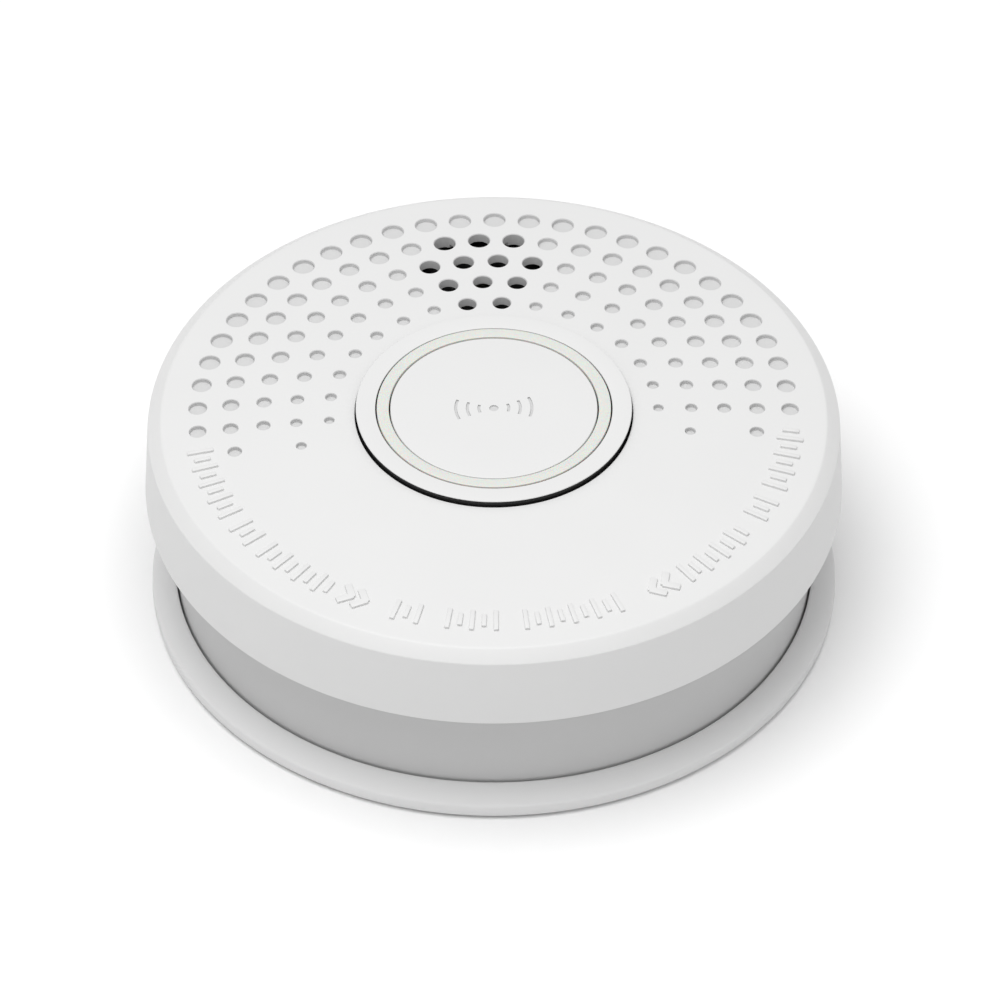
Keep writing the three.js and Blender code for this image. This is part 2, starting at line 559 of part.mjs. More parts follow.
// ---- circuit board and the parts soldered on it
function circuitBoard() {
  const disc = ring(0, boardRadius, boardBottom, boardTop);
  const [holeLow, holeHigh] = [boardBottom - OVERRUN, boardTop + OVERRUN];
  const holes = screwSpots.map(([x, y]) => rod(x, y, SCREW_RADIUS + GAP, holeLow, holeHigh));
  add("circuit_board", cut(disc, holes), "board");

  const half = SWITCH_SIDE / 2;
  const switchTop = onBoard + SWITCH_HEIGHT;
  const body = block([-half, half], [-half, half], [onBoard, switchTop]);
  const plungerFoot = switchTop - SWITCH_TRAVEL - PLUNGER_DEPTH;
  const wellFloor = plungerFoot - SWITCH_TRAVEL - SEAT;
  const well = rod(0, 0, PLUNGER_RADIUS + GAP, wellFloor, switchTop + OVERRUN);
  add("switch_body", cut(body, well), "black");
  add("switch_plunger", rod(0, 0, PLUNGER_RADIUS, plungerFoot, boardTop + PLUNGER_HEIGHT), "black");

  LIGHT_ANGLES.forEach((a, i) => {
    const [x, y] = polar(legCircle, a);
    const [w, d, h] = LED_SIZE;
    const led = block([x - w / 2, x + w / 2], [y - d / 2, y + d / 2], [onBoard, onBoard + h]);
    add(`ring_led_${i + 1}`, led, "lens");
  });

  const [length, width, height] = CHIP_SIZE;
  const chipX = -PARTS_OFFSET;
  const legs = around(CHIP_LEGS_PER_SIDE).map((_, i) => {
    const y = (i - (CHIP_LEGS_PER_SIDE - 1) / 2) * (length / CHIP_LEGS_PER_SIDE);
    const reach = width / 2 + CHIP_LEG.reach;
    const span = [y - CHIP_LEG.width / 2, y + CHIP_LEG.width / 2];
    return block([chipX - reach, chipX + reach], span, [onBoard, onBoard + CHIP_LEG.height]);
  });
  const chip = block(
    [chipX - width / 2, chipX + width / 2],
    [-length / 2, length / 2],
    [onBoard + CHIP_LIFT, onBoard + height],
  );
  add("control_chip", join(chip, legs), "black");

  const can = turned(
    [
      [0, onBoard],
      [CAPACITOR_RADIUS, onBoard],
      [CAPACITOR_RADIUS, onBoard + CAPACITOR_GROOVE.low],
      [CAPACITOR_RADIUS - CAPACITOR_GROOVE.depth, onBoard + CAPACITOR_GROOVE.middle],
      [CAPACITOR_RADIUS, onBoard + CAPACITOR_GROOVE.high],
      [CAPACITOR_RADIUS, onBoard + CAPACITOR_HEIGHT - CAPACITOR_EDGE],
      [CAPACITOR_RADIUS - CAPACITOR_EDGE, onBoard + CAPACITOR_HEIGHT],
      [0, onBoard + CAPACITOR_HEIGHT],
    ],
    { sides: SMALL_SIDES, x: PARTS_OFFSET, y: -CAPACITOR_RADIUS - CAPACITOR_SPACE },
  );
  add("capacitor", can, "black");

  const winding = COIL_RADIUS - COIL_WAIST;
  const drum = turned(
    [
      [0, onBoard],
      [COIL_RADIUS, onBoard],
      [COIL_RADIUS, onBoard + COIL_FLANGE],
      [winding, onBoard + COIL_FLANGE],
      [winding, onBoard + COIL_HEIGHT - COIL_FLANGE],
      [COIL_RADIUS, onBoard + COIL_HEIGHT - COIL_FLANGE],
      [COIL_RADIUS, onBoard + COIL_HEIGHT],
      [0, onBoard + COIL_HEIGHT],
    ],
    { sides: SMALL_SIDES, x: PARTS_OFFSET, y: COIL_RADIUS },
  );
  add("boost_coil", drum, "copper");
}

// ---- smoke chamber: labyrinth base, cap, insect screen, infrared emitter and receiver
const screenOuter = chamberRadius - SCREEN_INSET;
const screenInner = screenOuter - SCREEN_THICKNESS;
const vaneCircle = screenInner - VANE_INSET - VANE_LENGTH / 2;
const opticDistance = vaneCircle - VANE_LENGTH / 2 - OPTIC_VANE_GAP;
function optic(name, degrees) {
  const domeStart = OPTIC_LENGTH - OPTIC_RADIUS;
  const curve = [0, 30, 60, 90].map((a) => [
    a === 90 ? 0 : OPTIC_RADIUS * Math.cos(rad(a)),
    domeStart + OPTIC_RADIUS * Math.sin(rad(a)),
  ]);
  const { reach, thickness } = OPTIC_FLANGE;
  const flange = [
    [0, 0],
    [OPTIC_RADIUS + reach, 0],
    [OPTIC_RADIUS + reach, thickness],
    [OPTIC_RADIUS, thickness],
  ];
  const outline = [...flange, ...curve];
  const points = outline.map(([r, z]) => new THREE.Vector2(r, z));
  const [x, y] = polar(opticDistance, degrees);
  const middle = onBoard + CHAMBER_PLATE + (CHAMBER_HEIGHT - 2 * CHAMBER_PLATE) / 2;
  const geometry = new THREE.LatheGeometry(points, SMALL_SIDES)
    .rotateZ(Math.PI / 2)
    .rotateZ(rad(degrees))
    .translate(x, chamberY + y, middle);
  add(name, solid(geometry), "lens");
}
function smokeChamber() {
  const place = { y: chamberY };
  const baseTop = onBoard + CHAMBER_PLATE;
  const capBottom = onBoard + CHAMBER_HEIGHT - CHAMBER_PLATE;
  const plate = ring(0, screenInner - SCREEN_GAP, onBoard, baseTop, place);
  const vanes = around(VANE_COUNT, 90).map((a) => {
    const height = capBottom - SEAT - (baseTop - ROOT);
    const vane = new THREE.BoxGeometry(VANE_LENGTH, VANE_THICKNESS, height)
      .rotateZ(rad(VANE_TURN_DEGREES))
      .translate(vaneCircle, 0, baseTop - ROOT + height / 2)
      .rotateZ(rad(a))
      .translate(0, chamberY, 0);
    return solid(vane);
  });
  add("chamber_base", join(plate, vanes), "black");

  const capTop = onBoard + CHAMBER_HEIGHT;
  const cap = turned(
    [
      [0, capBottom],
      [screenOuter + SCREEN_GAP, capBottom],
      [screenOuter + SCREEN_GAP, capTop - CHAMBER_CAP_RIM],
      [chamberRadius, capTop - CHAMBER_CAP_RIM],
      [chamberRadius, capTop - CHAMBER_CAP_EDGE],
      [chamberRadius - CHAMBER_CAP_EDGE, capTop],
      [0, capTop],
    ],
    place,
  );
  add("chamber_cap", cap, "black");
  add("insect_screen", ring(screenInner, screenOuter, onBoard, capBottom - SEAT, place), "metal");
  optic("infrared_emitter", EMITTER_DEGREES);
  optic("infrared_receiver", RECEIVER_DEGREES);
}

// ---- horn: base, piezo disc, resonator cap and foam gasket under the sound holes
function horn() {
  const place = { sides: HORN_SIDES, y: hornY };
  const inner = hornRadius - HORN_WALL;
  const seatZ = onBoard + HORN_BASE_HEIGHT - HORN_SEAT_DROP;
  const base = turned(
    [
      [0, onBoard],
      [hornRadius, onBoard],
      [hornRadius, onBoard + HORN_BASE_HEIGHT],
      [inner, onBoard + HORN_BASE_HEIGHT],
      [inner, seatZ],
      [inner - HORN_SEAT, seatZ],
      [inner - HORN_SEAT, onBoard + HORN_FLOOR],
      [0, onBoard + HORN_FLOOR],
    ],
    place,
  );
  add("horn_base", base, "black");
  const piezoTop = seatZ + SEAT + PIEZO_THICKNESS;
  add("piezo_disc", ring(0, inner - GAP, seatZ + SEAT, piezoTop, place), "brass");
  const ceramic = ring(0, inner - GAP - CERAMIC_MARGIN, piezoTop + GLUE, piezoTop + PIEZO_THICKNESS, place);
  add("piezo_ceramic", ceramic, "ceramic");

  const gasketTop = coverCeiling(hornY + hornRadius) - SEAT;
  const capLow = onBoard + HORN_BASE_HEIGHT + SEAT;
  const capTop = gasketTop - GASKET_THICKNESS - SEAT;
  const lid = turned(
    [
      [HORN_PORT_RADIUS, capTop - HORN_FLOOR],
      [inner, capTop - HORN_FLOOR],
      [inner, capLow],
      [hornRadius, capLow],
      [hornRadius, capTop],
      [HORN_PORT_RADIUS, capTop],
    ],
    place,
  );
  add("horn_cap", lid, "black");
  const outer = hornRadius - GASKET_INSET;
  add("horn_gasket", ring(outer - GASKET_WIDTH, outer, capTop + SEAT, gasketTop, place), "foam");
}

// ---- battery, contacts, door and label
function battery() {
  const [front, back] = batteryX;
  const section = new THREE.Shape();
  const [halfY, halfZ] = [BATTERY_WIDTH / 2, BATTERY_THICKNESS / 2];
  const e = BATTERY_EDGE;
  section.moveTo(-halfY + e, -halfZ);
  section.absarc(halfY - e, -halfZ + e, e, -Math.PI / 2, 0, false);
  section.absarc(halfY - e, halfZ - e, e, 0, Math.PI / 2, false);
  section.absarc(-halfY + e, halfZ - e, e, Math.PI / 2, Math.PI, false);
  section.absarc(-halfY + e, -halfZ + e, e, Math.PI, 1.5 * Math.PI, false);
  const settings = { depth: back - front, bevelEnabled: false, curveSegments: 4 };
  const middle = batteryBottom + halfZ;
  // The section's x becomes Y and its y becomes Z.
  const jacket = new THREE.ExtrudeGeometry(section, settings)
    .rotateX(Math.PI / 2)
    .rotateZ(Math.PI / 2)
    .translate(front, 0, middle);
  add("battery", solid(jacket), "jacket");
  Object.entries(STUD_RADII).forEach(([pole, radius], i) => {
    const y = (i - 0.5) * STUD_SPACING;
    const stud = new THREE.CylinderGeometry(radius, radius, STUD_HEIGHT - SEAT, STUD_SIDES[pole])
      .rotateZ(Math.PI / 2)
      .translate(back + GLUE + STUD_HEIGHT / 2, y, middle);
    add(`battery_stud_${pole}`, solid(stud), "metal");
    const [thickness, width] = CONTACT_SIZE;
    const near = back + STUD_HEIGHT + GAP;
    const [low, high] = [middle - width / 2, boardBottom - GAP];
    const strip = block([near, near + thickness], [y - width / 2, y + width / 2], [low, high]);
    add(`battery_contact_${pole}`, strip, "brass");
  });
}
function batteryDoor() {
  const doorEnd = bayX[1];
  const doorTop = FLOOR_LIFT + DOOR_THICKNESS;
  const plate = block([hingeX + ROOT, doorEnd], [-doorHalf, doorHalf], [FLOOR_LIFT, doorTop]);
  const barrel = crossRod(hingeX, hingeZ, HINGE_RADIUS, -doorHalf, doorHalf);
  const pinEnd = doorHalf + HINGE_PIN_REACH;
  const pins = crossRod(hingeX, hingeZ, HINGE_PIN_RADIUS, -pinEnd, pinEnd);
  const latch = block(
    [doorEnd - LATCH_THICKNESS - GAP, doorEnd - GAP],
    [-doorHalf / 3, doorHalf / 3],
    [doorTop - ROOT, doorTop + LATCH_HEIGHT],
  );
  add("battery_door", join(plate, barrel, pins, latch), "white");
  const label = block(
    [hingeX + LABEL_MARGIN * 2, doorEnd - LABEL_MARGIN],
    [-doorHalf + LABEL_MARGIN, doorHalf - LABEL_MARGIN],
    [FLOOR_LIFT - GLUE - LABEL_THICKNESS, FLOOR_LIFT - GLUE],
  );
  add("door_label", label, "paper");
}

// ---- case screws
function caseScrews() {
  screwSpots.forEach(([x, y], i) => {
    const top = headLedge + SCREW_LENGTH;
    const outline = [
      [0, headLedge - SCREW_HEAD_HEIGHT],
      [SCREW_HEAD_RADIUS * SCREW_CROWN.radius, headLedge - SCREW_HEAD_HEIGHT],
      [SCREW_HEAD_RADIUS, headLedge - SCREW_HEAD_HEIGHT * SCREW_CROWN.height],
      [SCREW_HEAD_RADIUS, headLedge],
      [SCREW_RADIUS, headLedge],
      [SCREW_RADIUS, top - SCREW_POINT],
      [0, top],
    ];
    add(`case_screw_${i + 1}`, turned(outline, { sides: SMALL_SIDES, x, y }), "metal");
  });
}

ceilingPlate();
rearHousing();
frontCover();
testButton();
returnSpring();
circuitBoard();
smokeChamber();
horn();
battery();
batteryDoor();
caseScrews();

export default model;
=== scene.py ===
# %% [markdown]
# # A ceiling smoke alarm
# The alarm is a stack of turned plastic shells: a plate on the ceiling, a housing with a narrow neck, and a
# domed cover with a test button in its middle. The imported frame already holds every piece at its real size, so
# this lesson models each one again with softer edges and finer parts, and gives every surface its finish.

# %% The frame
from math import atan, cos, pi, radians, sin

import bpy
from mathutils import Matrix, Vector


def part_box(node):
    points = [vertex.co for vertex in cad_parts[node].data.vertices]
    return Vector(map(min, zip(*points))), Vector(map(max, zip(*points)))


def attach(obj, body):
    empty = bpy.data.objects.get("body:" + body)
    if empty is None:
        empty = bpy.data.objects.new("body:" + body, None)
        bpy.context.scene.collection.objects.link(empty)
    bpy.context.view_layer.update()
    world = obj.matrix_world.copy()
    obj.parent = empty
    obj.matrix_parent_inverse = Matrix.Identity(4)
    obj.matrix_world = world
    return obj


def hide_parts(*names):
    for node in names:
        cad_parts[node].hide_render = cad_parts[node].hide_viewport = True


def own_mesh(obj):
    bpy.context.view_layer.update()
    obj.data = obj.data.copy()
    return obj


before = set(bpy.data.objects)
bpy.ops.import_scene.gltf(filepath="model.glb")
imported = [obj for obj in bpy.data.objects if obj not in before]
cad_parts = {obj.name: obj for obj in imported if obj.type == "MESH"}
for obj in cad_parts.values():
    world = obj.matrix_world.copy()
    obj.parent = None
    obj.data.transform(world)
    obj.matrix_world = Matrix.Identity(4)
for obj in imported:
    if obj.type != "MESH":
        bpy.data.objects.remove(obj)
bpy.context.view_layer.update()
print("nodes in the frame:", len(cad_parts))

# %% [markdown]
# The shapes below are worked out in millimetres, because that is how moulded parts are drawn, and are
# scaled by `MM` when a point is handed to Blender. The heights and radii that tie a piece to its neighbours
# come from the frame's own boxes.

# %% Sizes read from the frame
MM = 0.001


def low(node, axis=2):
    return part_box(node)[0][axis] / MM


def high(node, axis=2):
    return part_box(node)[1][axis] / MM


def corners(node):
    return [Vector(corner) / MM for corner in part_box(node)]


def middle_of(node):
    return (low(node, 0) + high(node, 0)) / 2, (low(node, 1) + high(node, 1)) / 2


def radius_of(node):
    return (high(node, 0) - low(node, 0)) / 2


cover_radius = high("front_cover", 0)
cover_top = high("front_cover")
skirt_bottom = low("front_cover")
button_radius = high("button_rim", 0)
button_top = high("button_rim")
rim_radius = high("ceiling_plate", 0)
neck_radius = high("rear_housing", 0)
board_top = high("circuit_board")
print("cover", round(cover_radius, 2), "button", round(button_radius, 2), "top", round(button_top, 2))

# %% [markdown]
# ## Camera, light and floor
# The alarm lies on its back on a plain white table. It is seen from a little above the middle, with a parallel
# camera, so the round outlines stay true ellipses. A bright, even sky and one broad soft lamp give the flat,
# nearly shadowless light of a catalogue picture.

# %% Camera
VIEW_TURN = radians(-3.23)
VIEW_HEIGHT = radians(42.51)
FRAME_WIDTH = 173.19 * MM
AIM = Vector((0, 0, 40.6 * MM))
AIM_RIGHT, AIM_DOWN = 1.065 * MM, 14.435 * MM
CAMERA_DISTANCE = 0.6

turn = Matrix.Rotation(VIEW_TURN, 3, "Z") @ Matrix.Rotation(pi / 2 - VIEW_HEIGHT, 3, "X")
centre = AIM + turn @ Vector((AIM_RIGHT, -AIM_DOWN, 0))
bpy.ops.object.camera_add(location=centre + turn @ Vector((0, 0, CAMERA_DISTANCE)), rotation=turn.to_euler())
camera = bpy.context.object
camera.data.type = "ORTHO"
camera.data.ortho_scale = FRAME_WIDTH
bpy.context.scene.camera = camera
bpy.context.scene.view_settings.view_transform = "Standard"

# %% Light
SKY_HORIZON, SKY_ZENITH = 0.26, 0.70
UNDER_TABLE = 0.74  # extra light from under the table, so that low and lower views aren't murky
TABLE_HORIZON = -0.03  # how far down a direction points before it counts as under the table
LAMP_PLACE, LAMP_SIZE, LAMP_WATTS = Vector((-0.2, -0.2, 1.5)), 1.3, 15.5

world = bpy.data.worlds.new("sky")
world.use_nodes = True
sky = world.node_tree
direction = sky.nodes.new("ShaderNodeTexCoord")
height = sky.nodes.new("ShaderNodeSeparateXYZ")
sky.links.new(direction.outputs["Generated"], height.inputs[0])
brightness = sky.nodes.new("ShaderNodeMapRange")
brightness.inputs["To Min"].default_value = SKY_HORIZON
brightness.inputs["To Max"].default_value = SKY_ZENITH
sky.links.new(height.outputs["Z"], brightness.inputs["Value"])
under = sky.nodes.new("ShaderNodeMath")
under.operation = "LESS_THAN"
under.inputs[1].default_value = TABLE_HORIZON
sky.links.new(height.outputs["Z"], under.inputs[0])
total = sky.nodes.new("ShaderNodeMath")
total.operation = "MULTIPLY_ADD"
total.inputs[1].default_value = UNDER_TABLE
sky.links.new(under.outputs[0], total.inputs[0])
sky.links.new(brightness.outputs["Result"], total.inputs[2])
sky.links.new(total.outputs[0], sky.nodes["Background"].inputs["Strength"])
sky.nodes["Background"].inputs["Color"].default_value = (1, 1, 1, 1)
bpy.context.scene.world = world

bpy.ops.object.light_add(type="AREA", location=LAMP_PLACE)
lamp = bpy.context.object
lamp.name = "overhead"
lamp.data.shape = "DISK"
lamp.data.size = LAMP_SIZE
lamp.data.energy = LAMP_WATTS
lamp.rotation_euler = (-LAMP_PLACE).to_track_quat("-Z", "Y").to_euler()

# %% [markdown]
# ## Finishes
# Each finish is a small node tree. `Value` wraps one node socket, so that shader sums can be written as
# ordinary expressions, and `Finish.node` adds any other node with its settings and inputs.

# %% Shader sums as expressions
class Value:
    def __init__(self, finish, socket):
        self.finish, self.socket = finish, socket

    def math(self, operation, first, second):
        return self.finish.node("ShaderNodeMath", {"operation": operation}, {0: first, 1: second})

    def __add__(self, other):
        return self.math("ADD", self, other)

    def __sub__(self, other):
        return self.math("SUBTRACT", self, other)

    def __mul__(self, other):
        return self.math("MULTIPLY", self, other)

    __radd__ = __add__


class Finish:
    def __init__(self, name, roughness, metallic=0.0, **constants):
        self.material = bpy.data.materials.new(name)
        self.material.use_nodes = True
        self.tree = self.material.node_tree
        self.surface = self.tree.nodes["Principled BSDF"]
        self.surface.inputs["Roughness"].default_value = roughness
        self.surface.inputs["Metallic"].default_value = metallic
        for socket, amount in constants.items():
            self.surface.inputs[socket.replace("_", " ")].default_value = amount
        self.place = self.node("ShaderNodeTexCoord", output="Object")

    def node(self, kind, settings=None, inputs=None, output=0):
        node = self.tree.nodes.new(kind)
        for setting, choice in (settings or {}).items():
            setattr(node, setting, choice)
        for socket, given in (inputs or {}).items():
            if isinstance(given, Value):
                self.tree.links.new(given.socket, node.inputs[socket])
            else:
                node.inputs[socket].default_value = given
        return Value(self, node.outputs[output])

    def noise(self, scale, detail=2.0):
        return self.node("ShaderNodeTexNoise", None, {"Vector": self.place, "Scale": scale, "Detail": detail})

    def ramp(self, factor, first, second):
        return self.node("ShaderNodeMix", {"data_type": "RGBA"}, {0: factor, 6: first, 7: second}, output=2)

    def feed(self, socket, given):
        self.tree.links.new(given.socket, self.surface.inputs[socket])

    def grain(self, height, depth, strength=1.0):
        inputs = {"Height": height, "Distance": depth, "Strength": strength}
        self.feed("Normal", self.node("ShaderNodeBump", None, inputs))


def colour(red, green, blue):
    return (red, green, blue, 1.0)


# %% [markdown]
# The mouldings have a spark-eroded surface: a very fine, even grain that softens the shine. The grain here is
# about 0.2 mm, with a slow drift in tone and shine on top, as a real moulding has where the plastic cooled.

# %% Moulded plastics
DRIFT_SCALE, DRIFT_SHINE = 55, 0.08
GRAIN_SCALE, GRAIN_SHINE = 5200, 0.10
HAZE_SCALE = 900


def moulded(name, light, dark, roughness, grain_depth):
    finish = Finish(name, roughness)
    drift = finish.noise(DRIFT_SCALE, 3)
    fine = finish.noise(GRAIN_SCALE, 2)
    finish.feed("Base Color", finish.ramp(drift, colour(*dark), colour(*light)))
    finish.feed("Roughness", roughness + (drift - 0.5) * DRIFT_SHINE + (fine - 0.5) * GRAIN_SHINE)
    finish.grain(fine, grain_depth)
    return finish.material


white_plastic = moulded("white_plastic", (0.765, 0.765, 0.763), (0.745, 0.745, 0.743), 0.46, 9e-6)
# painted shade: a darker copy of the white plastic for the faces of dimples, holes and grooves, where shade
# falls
shaded_recess_plastic = moulded("shaded_recess_plastic", (0.64, 0.64, 0.64), (0.61, 0.61, 0.61), 0.6, 1.5e-5)
# painted shade: a greyer copy of the white plastic for the neck, standing in for the shade under the cover's
# overhang
shaded_housing_plastic = moulded("shaded_housing_plastic", (0.60, 0.60, 0.60), (0.575, 0.575, 0.575), 0.5, 1.1e-5)
black_plastic = moulded("black_plastic", (0.012, 0.012, 0.012), (0.008, 0.008, 0.008), 0.5, 1.2e-5)


def milky():
    finish = Finish("milky_plastic", 0.32, Subsurface_Weight=0.25, Subsurface_Scale=0.001)
    haze = finish.noise(HAZE_SCALE, 2)
    finish.feed("Base Color", finish.ramp(haze, colour(0.70, 0.71, 0.675), colour(0.73, 0.74, 0.70)))
    finish.feed("Roughness", 0.28 + haze * 0.1)
    return finish.material


# %% [markdown]
# Inside are a green circuit board, bright and brass sheet metal, wound copper, fired ceramic and foam. The
# metals are lightly brushed: their noise is stretched along one direction by a Mapping node.

# %% Inner finishes
BRUSH_STRETCH = (400, 6000, 6000)
BRUSH_SHINE, BRUSH_DEPTH = 0.14, 6e-6
SPECK_SHINE = 0.1


def brushed(name, light, dark, roughness):
    finish = Finish(name, roughness, 1.0)
    stretched = finish.node("ShaderNodeMapping", None, {"Vector": finish.place, "Scale": BRUSH_STRETCH})
    lines = finish.node("ShaderNodeTexNoise", None, {"Vector": stretched, "Scale": 1.0, "Detail": 2.0})
    finish.feed("Base Color", finish.ramp(lines, colour(*dark), colour(*light)))
    finish.feed("Roughness", roughness - 0.06 + lines * BRUSH_SHINE)
    finish.grain(lines, BRUSH_DEPTH)
    return finish.material


def speckled(name, light, dark, roughness, scale, depth):
    finish = Finish(name, roughness)
    specks = finish.noise(scale, 4)
    finish.feed("Base Color", finish.ramp(specks, colour(*dark), colour(*light)))
    finish.feed("Roughness", roughness - 0.05 + specks * SPECK_SHINE)
    finish.grain(specks, depth)
    return finish.material


SPECKLED = {  # light and dark colour, roughness, scale and depth of the specks
    "board_laminate": ((0.02, 0.16, 0.06), (0.012, 0.10, 0.035), 0.3, 700, 6e-6),
    "ceramic": ((0.80, 0.78, 0.70), (0.70, 0.68, 0.60), 0.55, 2500, 4e-6),
    "foam": ((0.06, 0.06, 0.065), (0.02, 0.02, 0.022), 0.95, 3000, 6e-5),
    "paper_label": ((0.72, 0.72, 0.71), (0.66, 0.66, 0.66), 0.7, 1800, 3e-6),
    "clear_lens": ((0.72, 0.80, 0.86), (0.62, 0.70, 0.78), 0.12, 600, 1e-6),
}
BRUSHED = {  # light and dark colour, roughness
    "spring_steel": ((0.66, 0.67, 0.69), (0.50, 0.51, 0.53), 0.28),
    "brass_sheet": ((0.78, 0.58, 0.26), (0.66, 0.46, 0.18), 0.3),
    "copper_winding": ((0.72, 0.30, 0.12), (0.42, 0.15, 0.05), 0.35),
    "battery_jacket": ((0.23, 0.24, 0.27), (0.15, 0.16, 0.18), 0.35),
}
finishes = {"white_plastic": white_plastic, "black_plastic": black_plastic, "milky_plastic": milky()}
finishes.update((name, speckled(name, *look)) for name, look in SPECKLED.items())
finishes.update((name, brushed(name, *look)) for name, look in BRUSHED.items())


def paint(piece, material):
    piece.data.materials.clear()
    piece.data.materials.append(material)


# %% The floor
TABLE_SIDE, TABLE_DROP = 3.0, 0.0001


def floor():
    place = (0, 0, -TABLE_DROP)
    bpy.ops.mesh.primitive_grid_add(x_subdivisions=4, y_subdivisions=4, size=TABLE_SIDE, location=place)
    table = bpy.context.object
    table.name = "table"
    finish = Finish("table_white", 0.9)
    finish.feed("Base Color", finish.ramp(finish.noise(20), colour(0.96, 0.96, 0.96), colour(0.98, 0.98, 0.98)))
    table.data.materials.append(finish.material)


floor()

# %% [markdown]
# ## Modelling helpers
# Nearly every piece is turned, so the main tool is a lathe: one vertex is extruded along an outline of radius
# and height in edit mode, and spun about the Z axis. Corners are softened in the outline itself, because even
# a 0.2 mm round catches the light.

# %% Lathe
BIG_TURN, MIDDLE_TURN, SMALL_TURN, TINY_TURN = 240, 120, 96, 32  # steps of a full turn
CORNER_SHARE = 0.45  # the most of an edge that one rounded corner may take
POINT_MERGE, WELD_MERGE, SEAM_MERGE = 1e-7, 2e-7, 1e-6  # metres
ROOT = 0.3  # how deep a part is sunk into the piece that carries it


def soft(points, steps=4):
    """Rounds the corners of an outline of (radius, height) points that have a third value, their softness."""
    rounded = []
    for i, (r, z, *softness) in enumerate(points):
        here, reach = Vector((r, z)), sum(softness)
        if reach <= 0:
            rounded.append(here)
            continue
        before = Vector(points[i - 1][:2]) - here
        after = Vector(points[(i + 1) % len(points)][:2]) - here
        start = here + before.normalized() * min(reach, before.length * CORNER_SHARE)
        end = here + after.normalized() * min(reach, after.length * CORNER_SHARE)
        for k in range(steps + 1):
            t = k / steps
            rounded.append(start * (1 - t) ** 2 + here * 2 * t * (1 - t) + end * t * t)
    return rounded


def edit(kind="VERT"):
    bpy.ops.object.mode_set(mode="EDIT")
    bpy.ops.mesh.select_mode(type=kind)
    bpy.ops.mesh.select_all(action="SELECT")


def object_mode():
    bpy.ops.object.mode_set(mode="OBJECT")


def pick(piece, kind, wanted):
    """Goes to edit mode with only the wanted edges or faces selected."""
    only(piece)
    edit(kind)
    bpy.ops.mesh.select_all(action="DESELECT")
    object_mode()
    for item in piece.data.polygons if kind == "FACE" else piece.data.edges:
        item.select = wanted(item)
    bpy.ops.object.mode_set(mode="EDIT")


def lathe(name, outline, turns=BIG_TURN, degrees=360.0, start=0.0, middle=(0.0, 0.0), closed=True):
    """Spins an outline of points in millimetres about the upright axis through middle.

    An outline that starts on the axis is left open there, and any other is joined up unless closed is off.
    """
    outline = soft(outline)
    bpy.ops.mesh.primitive_plane_add(size=1 * MM)
    piece = bpy.context.object
    piece.name = name
    edit()
    bpy.ops.mesh.merge(type="CENTER")
    first = Vector((outline[0][0], 0, outline[0][1])) * MM
    bpy.ops.transform.translate(value=first)
    spot = first
    path = list(outline[1:]) + ([outline[0]] if closed and outline[0][0] > 0 else [])
    for r, z in path:
        nxt = Vector((r, 0, z)) * MM
        bpy.ops.mesh.extrude_vertices_move(TRANSFORM_OT_translate={"value": nxt - spot})
        spot = nxt
    bpy.ops.mesh.select_all(action="SELECT")
    bpy.ops.mesh.remove_doubles(threshold=POINT_MERGE)
    if degrees < 360:
        bpy.ops.mesh.edge_face_add()
    bpy.ops.mesh.spin(steps=turns, angle=radians(degrees), center=(0, 0, 0), axis=(0, 0, -1))
    bpy.ops.mesh.select_all(action="SELECT")
    bpy.ops.mesh.remove_doubles(threshold=SEAM_MERGE)
    bpy.ops.mesh.normals_make_consistent(inside=False)
    object_mode()
    piece.rotation_euler = (0, 0, radians(start))
    piece.location = (middle[0] * MM, middle[1] * MM, 0)
    settle(piece)
    return piece


def settle(piece):
    """Moves a piece's place and turn into its mesh, so that its object sits at the origin."""
    only(piece)
    bpy.ops.object.transform_apply(location=True, rotation=True, scale=True)


def only(*pieces):
    bpy.ops.object.select_all(action="DESELECT")
    for piece in pieces:
        piece.select_set(True)
    bpy.context.view_layer.objects.active = pieces[0]


def joined(pieces):
    only(*pieces)
    bpy.ops.object.join()
    return bpy.context.object


def carve(piece, cutter, operation="DIFFERENCE"):
    only(piece)
    carving = piece.modifiers.new("carve", "BOOLEAN")
    carving.operation = operation
    carving.solver = "EXACT"
    carving.material_mode = "TRANSFER"
    carving.object = cutter
    bpy.ops.object.modifier_apply(modifier=carving.name)
    bpy.data.objects.remove(cutter)


def block(name, size, place, turn_degrees=0.0, rounding=0.0):
    """A block of a size and middle in millimetres, with its edges rounded, turned about the Z axis."""
    bpy.ops.mesh.primitive_cube_add(size=1, location=(0, 0, 0))
    piece = bpy.context.object
    piece.name = name
    piece.scale = [side * MM for side in size]
    bpy.ops.object.transform_apply(location=False, rotation=False, scale=True)
    if rounding:
        edit("EDGE")
        bpy.ops.mesh.bevel(offset=rounding * MM, segments=2, affect="EDGES")
        object_mode()
    piece.location = [side * MM for side in place]
    piece.rotation_euler = (0, 0, radians(turn_degrees))
    settle(piece)
    return piece


def disc(radius, foot, top, under=0.0, over=0.0):
    """The outline of a solid round disc or rod, with the softness of its lower and upper edge."""
    return [(0, foot), (radius, foot, under), (radius, top, over), (0, top)]


def hang(piece, slot, *nodes, body="head", sharp=35):
    """Smooths a piece where it bends less than sharp degrees, paints it unless it was painted before it was
    carved, and hangs it on its body in place of the frame's nodes. No point is left on top of another."""
    only(piece)
    if sharp:
        bpy.ops.object.shade_smooth_by_angle(angle=radians(sharp))
    edit()
    bpy.ops.mesh.remove_doubles(threshold=WELD_MERGE)
    bpy.ops.mesh.delete_loose()
    object_mode()
    if not piece.data.materials:
        paint(piece, finishes[slot])
    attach(piece, body)
    if nodes:
        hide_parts(*nodes)


def copy_of(piece, name):
    twin = piece.copy()
    twin.data = piece.data.copy()
    twin.name = name
    bpy.context.scene.collection.objects.link(twin)
    return twin


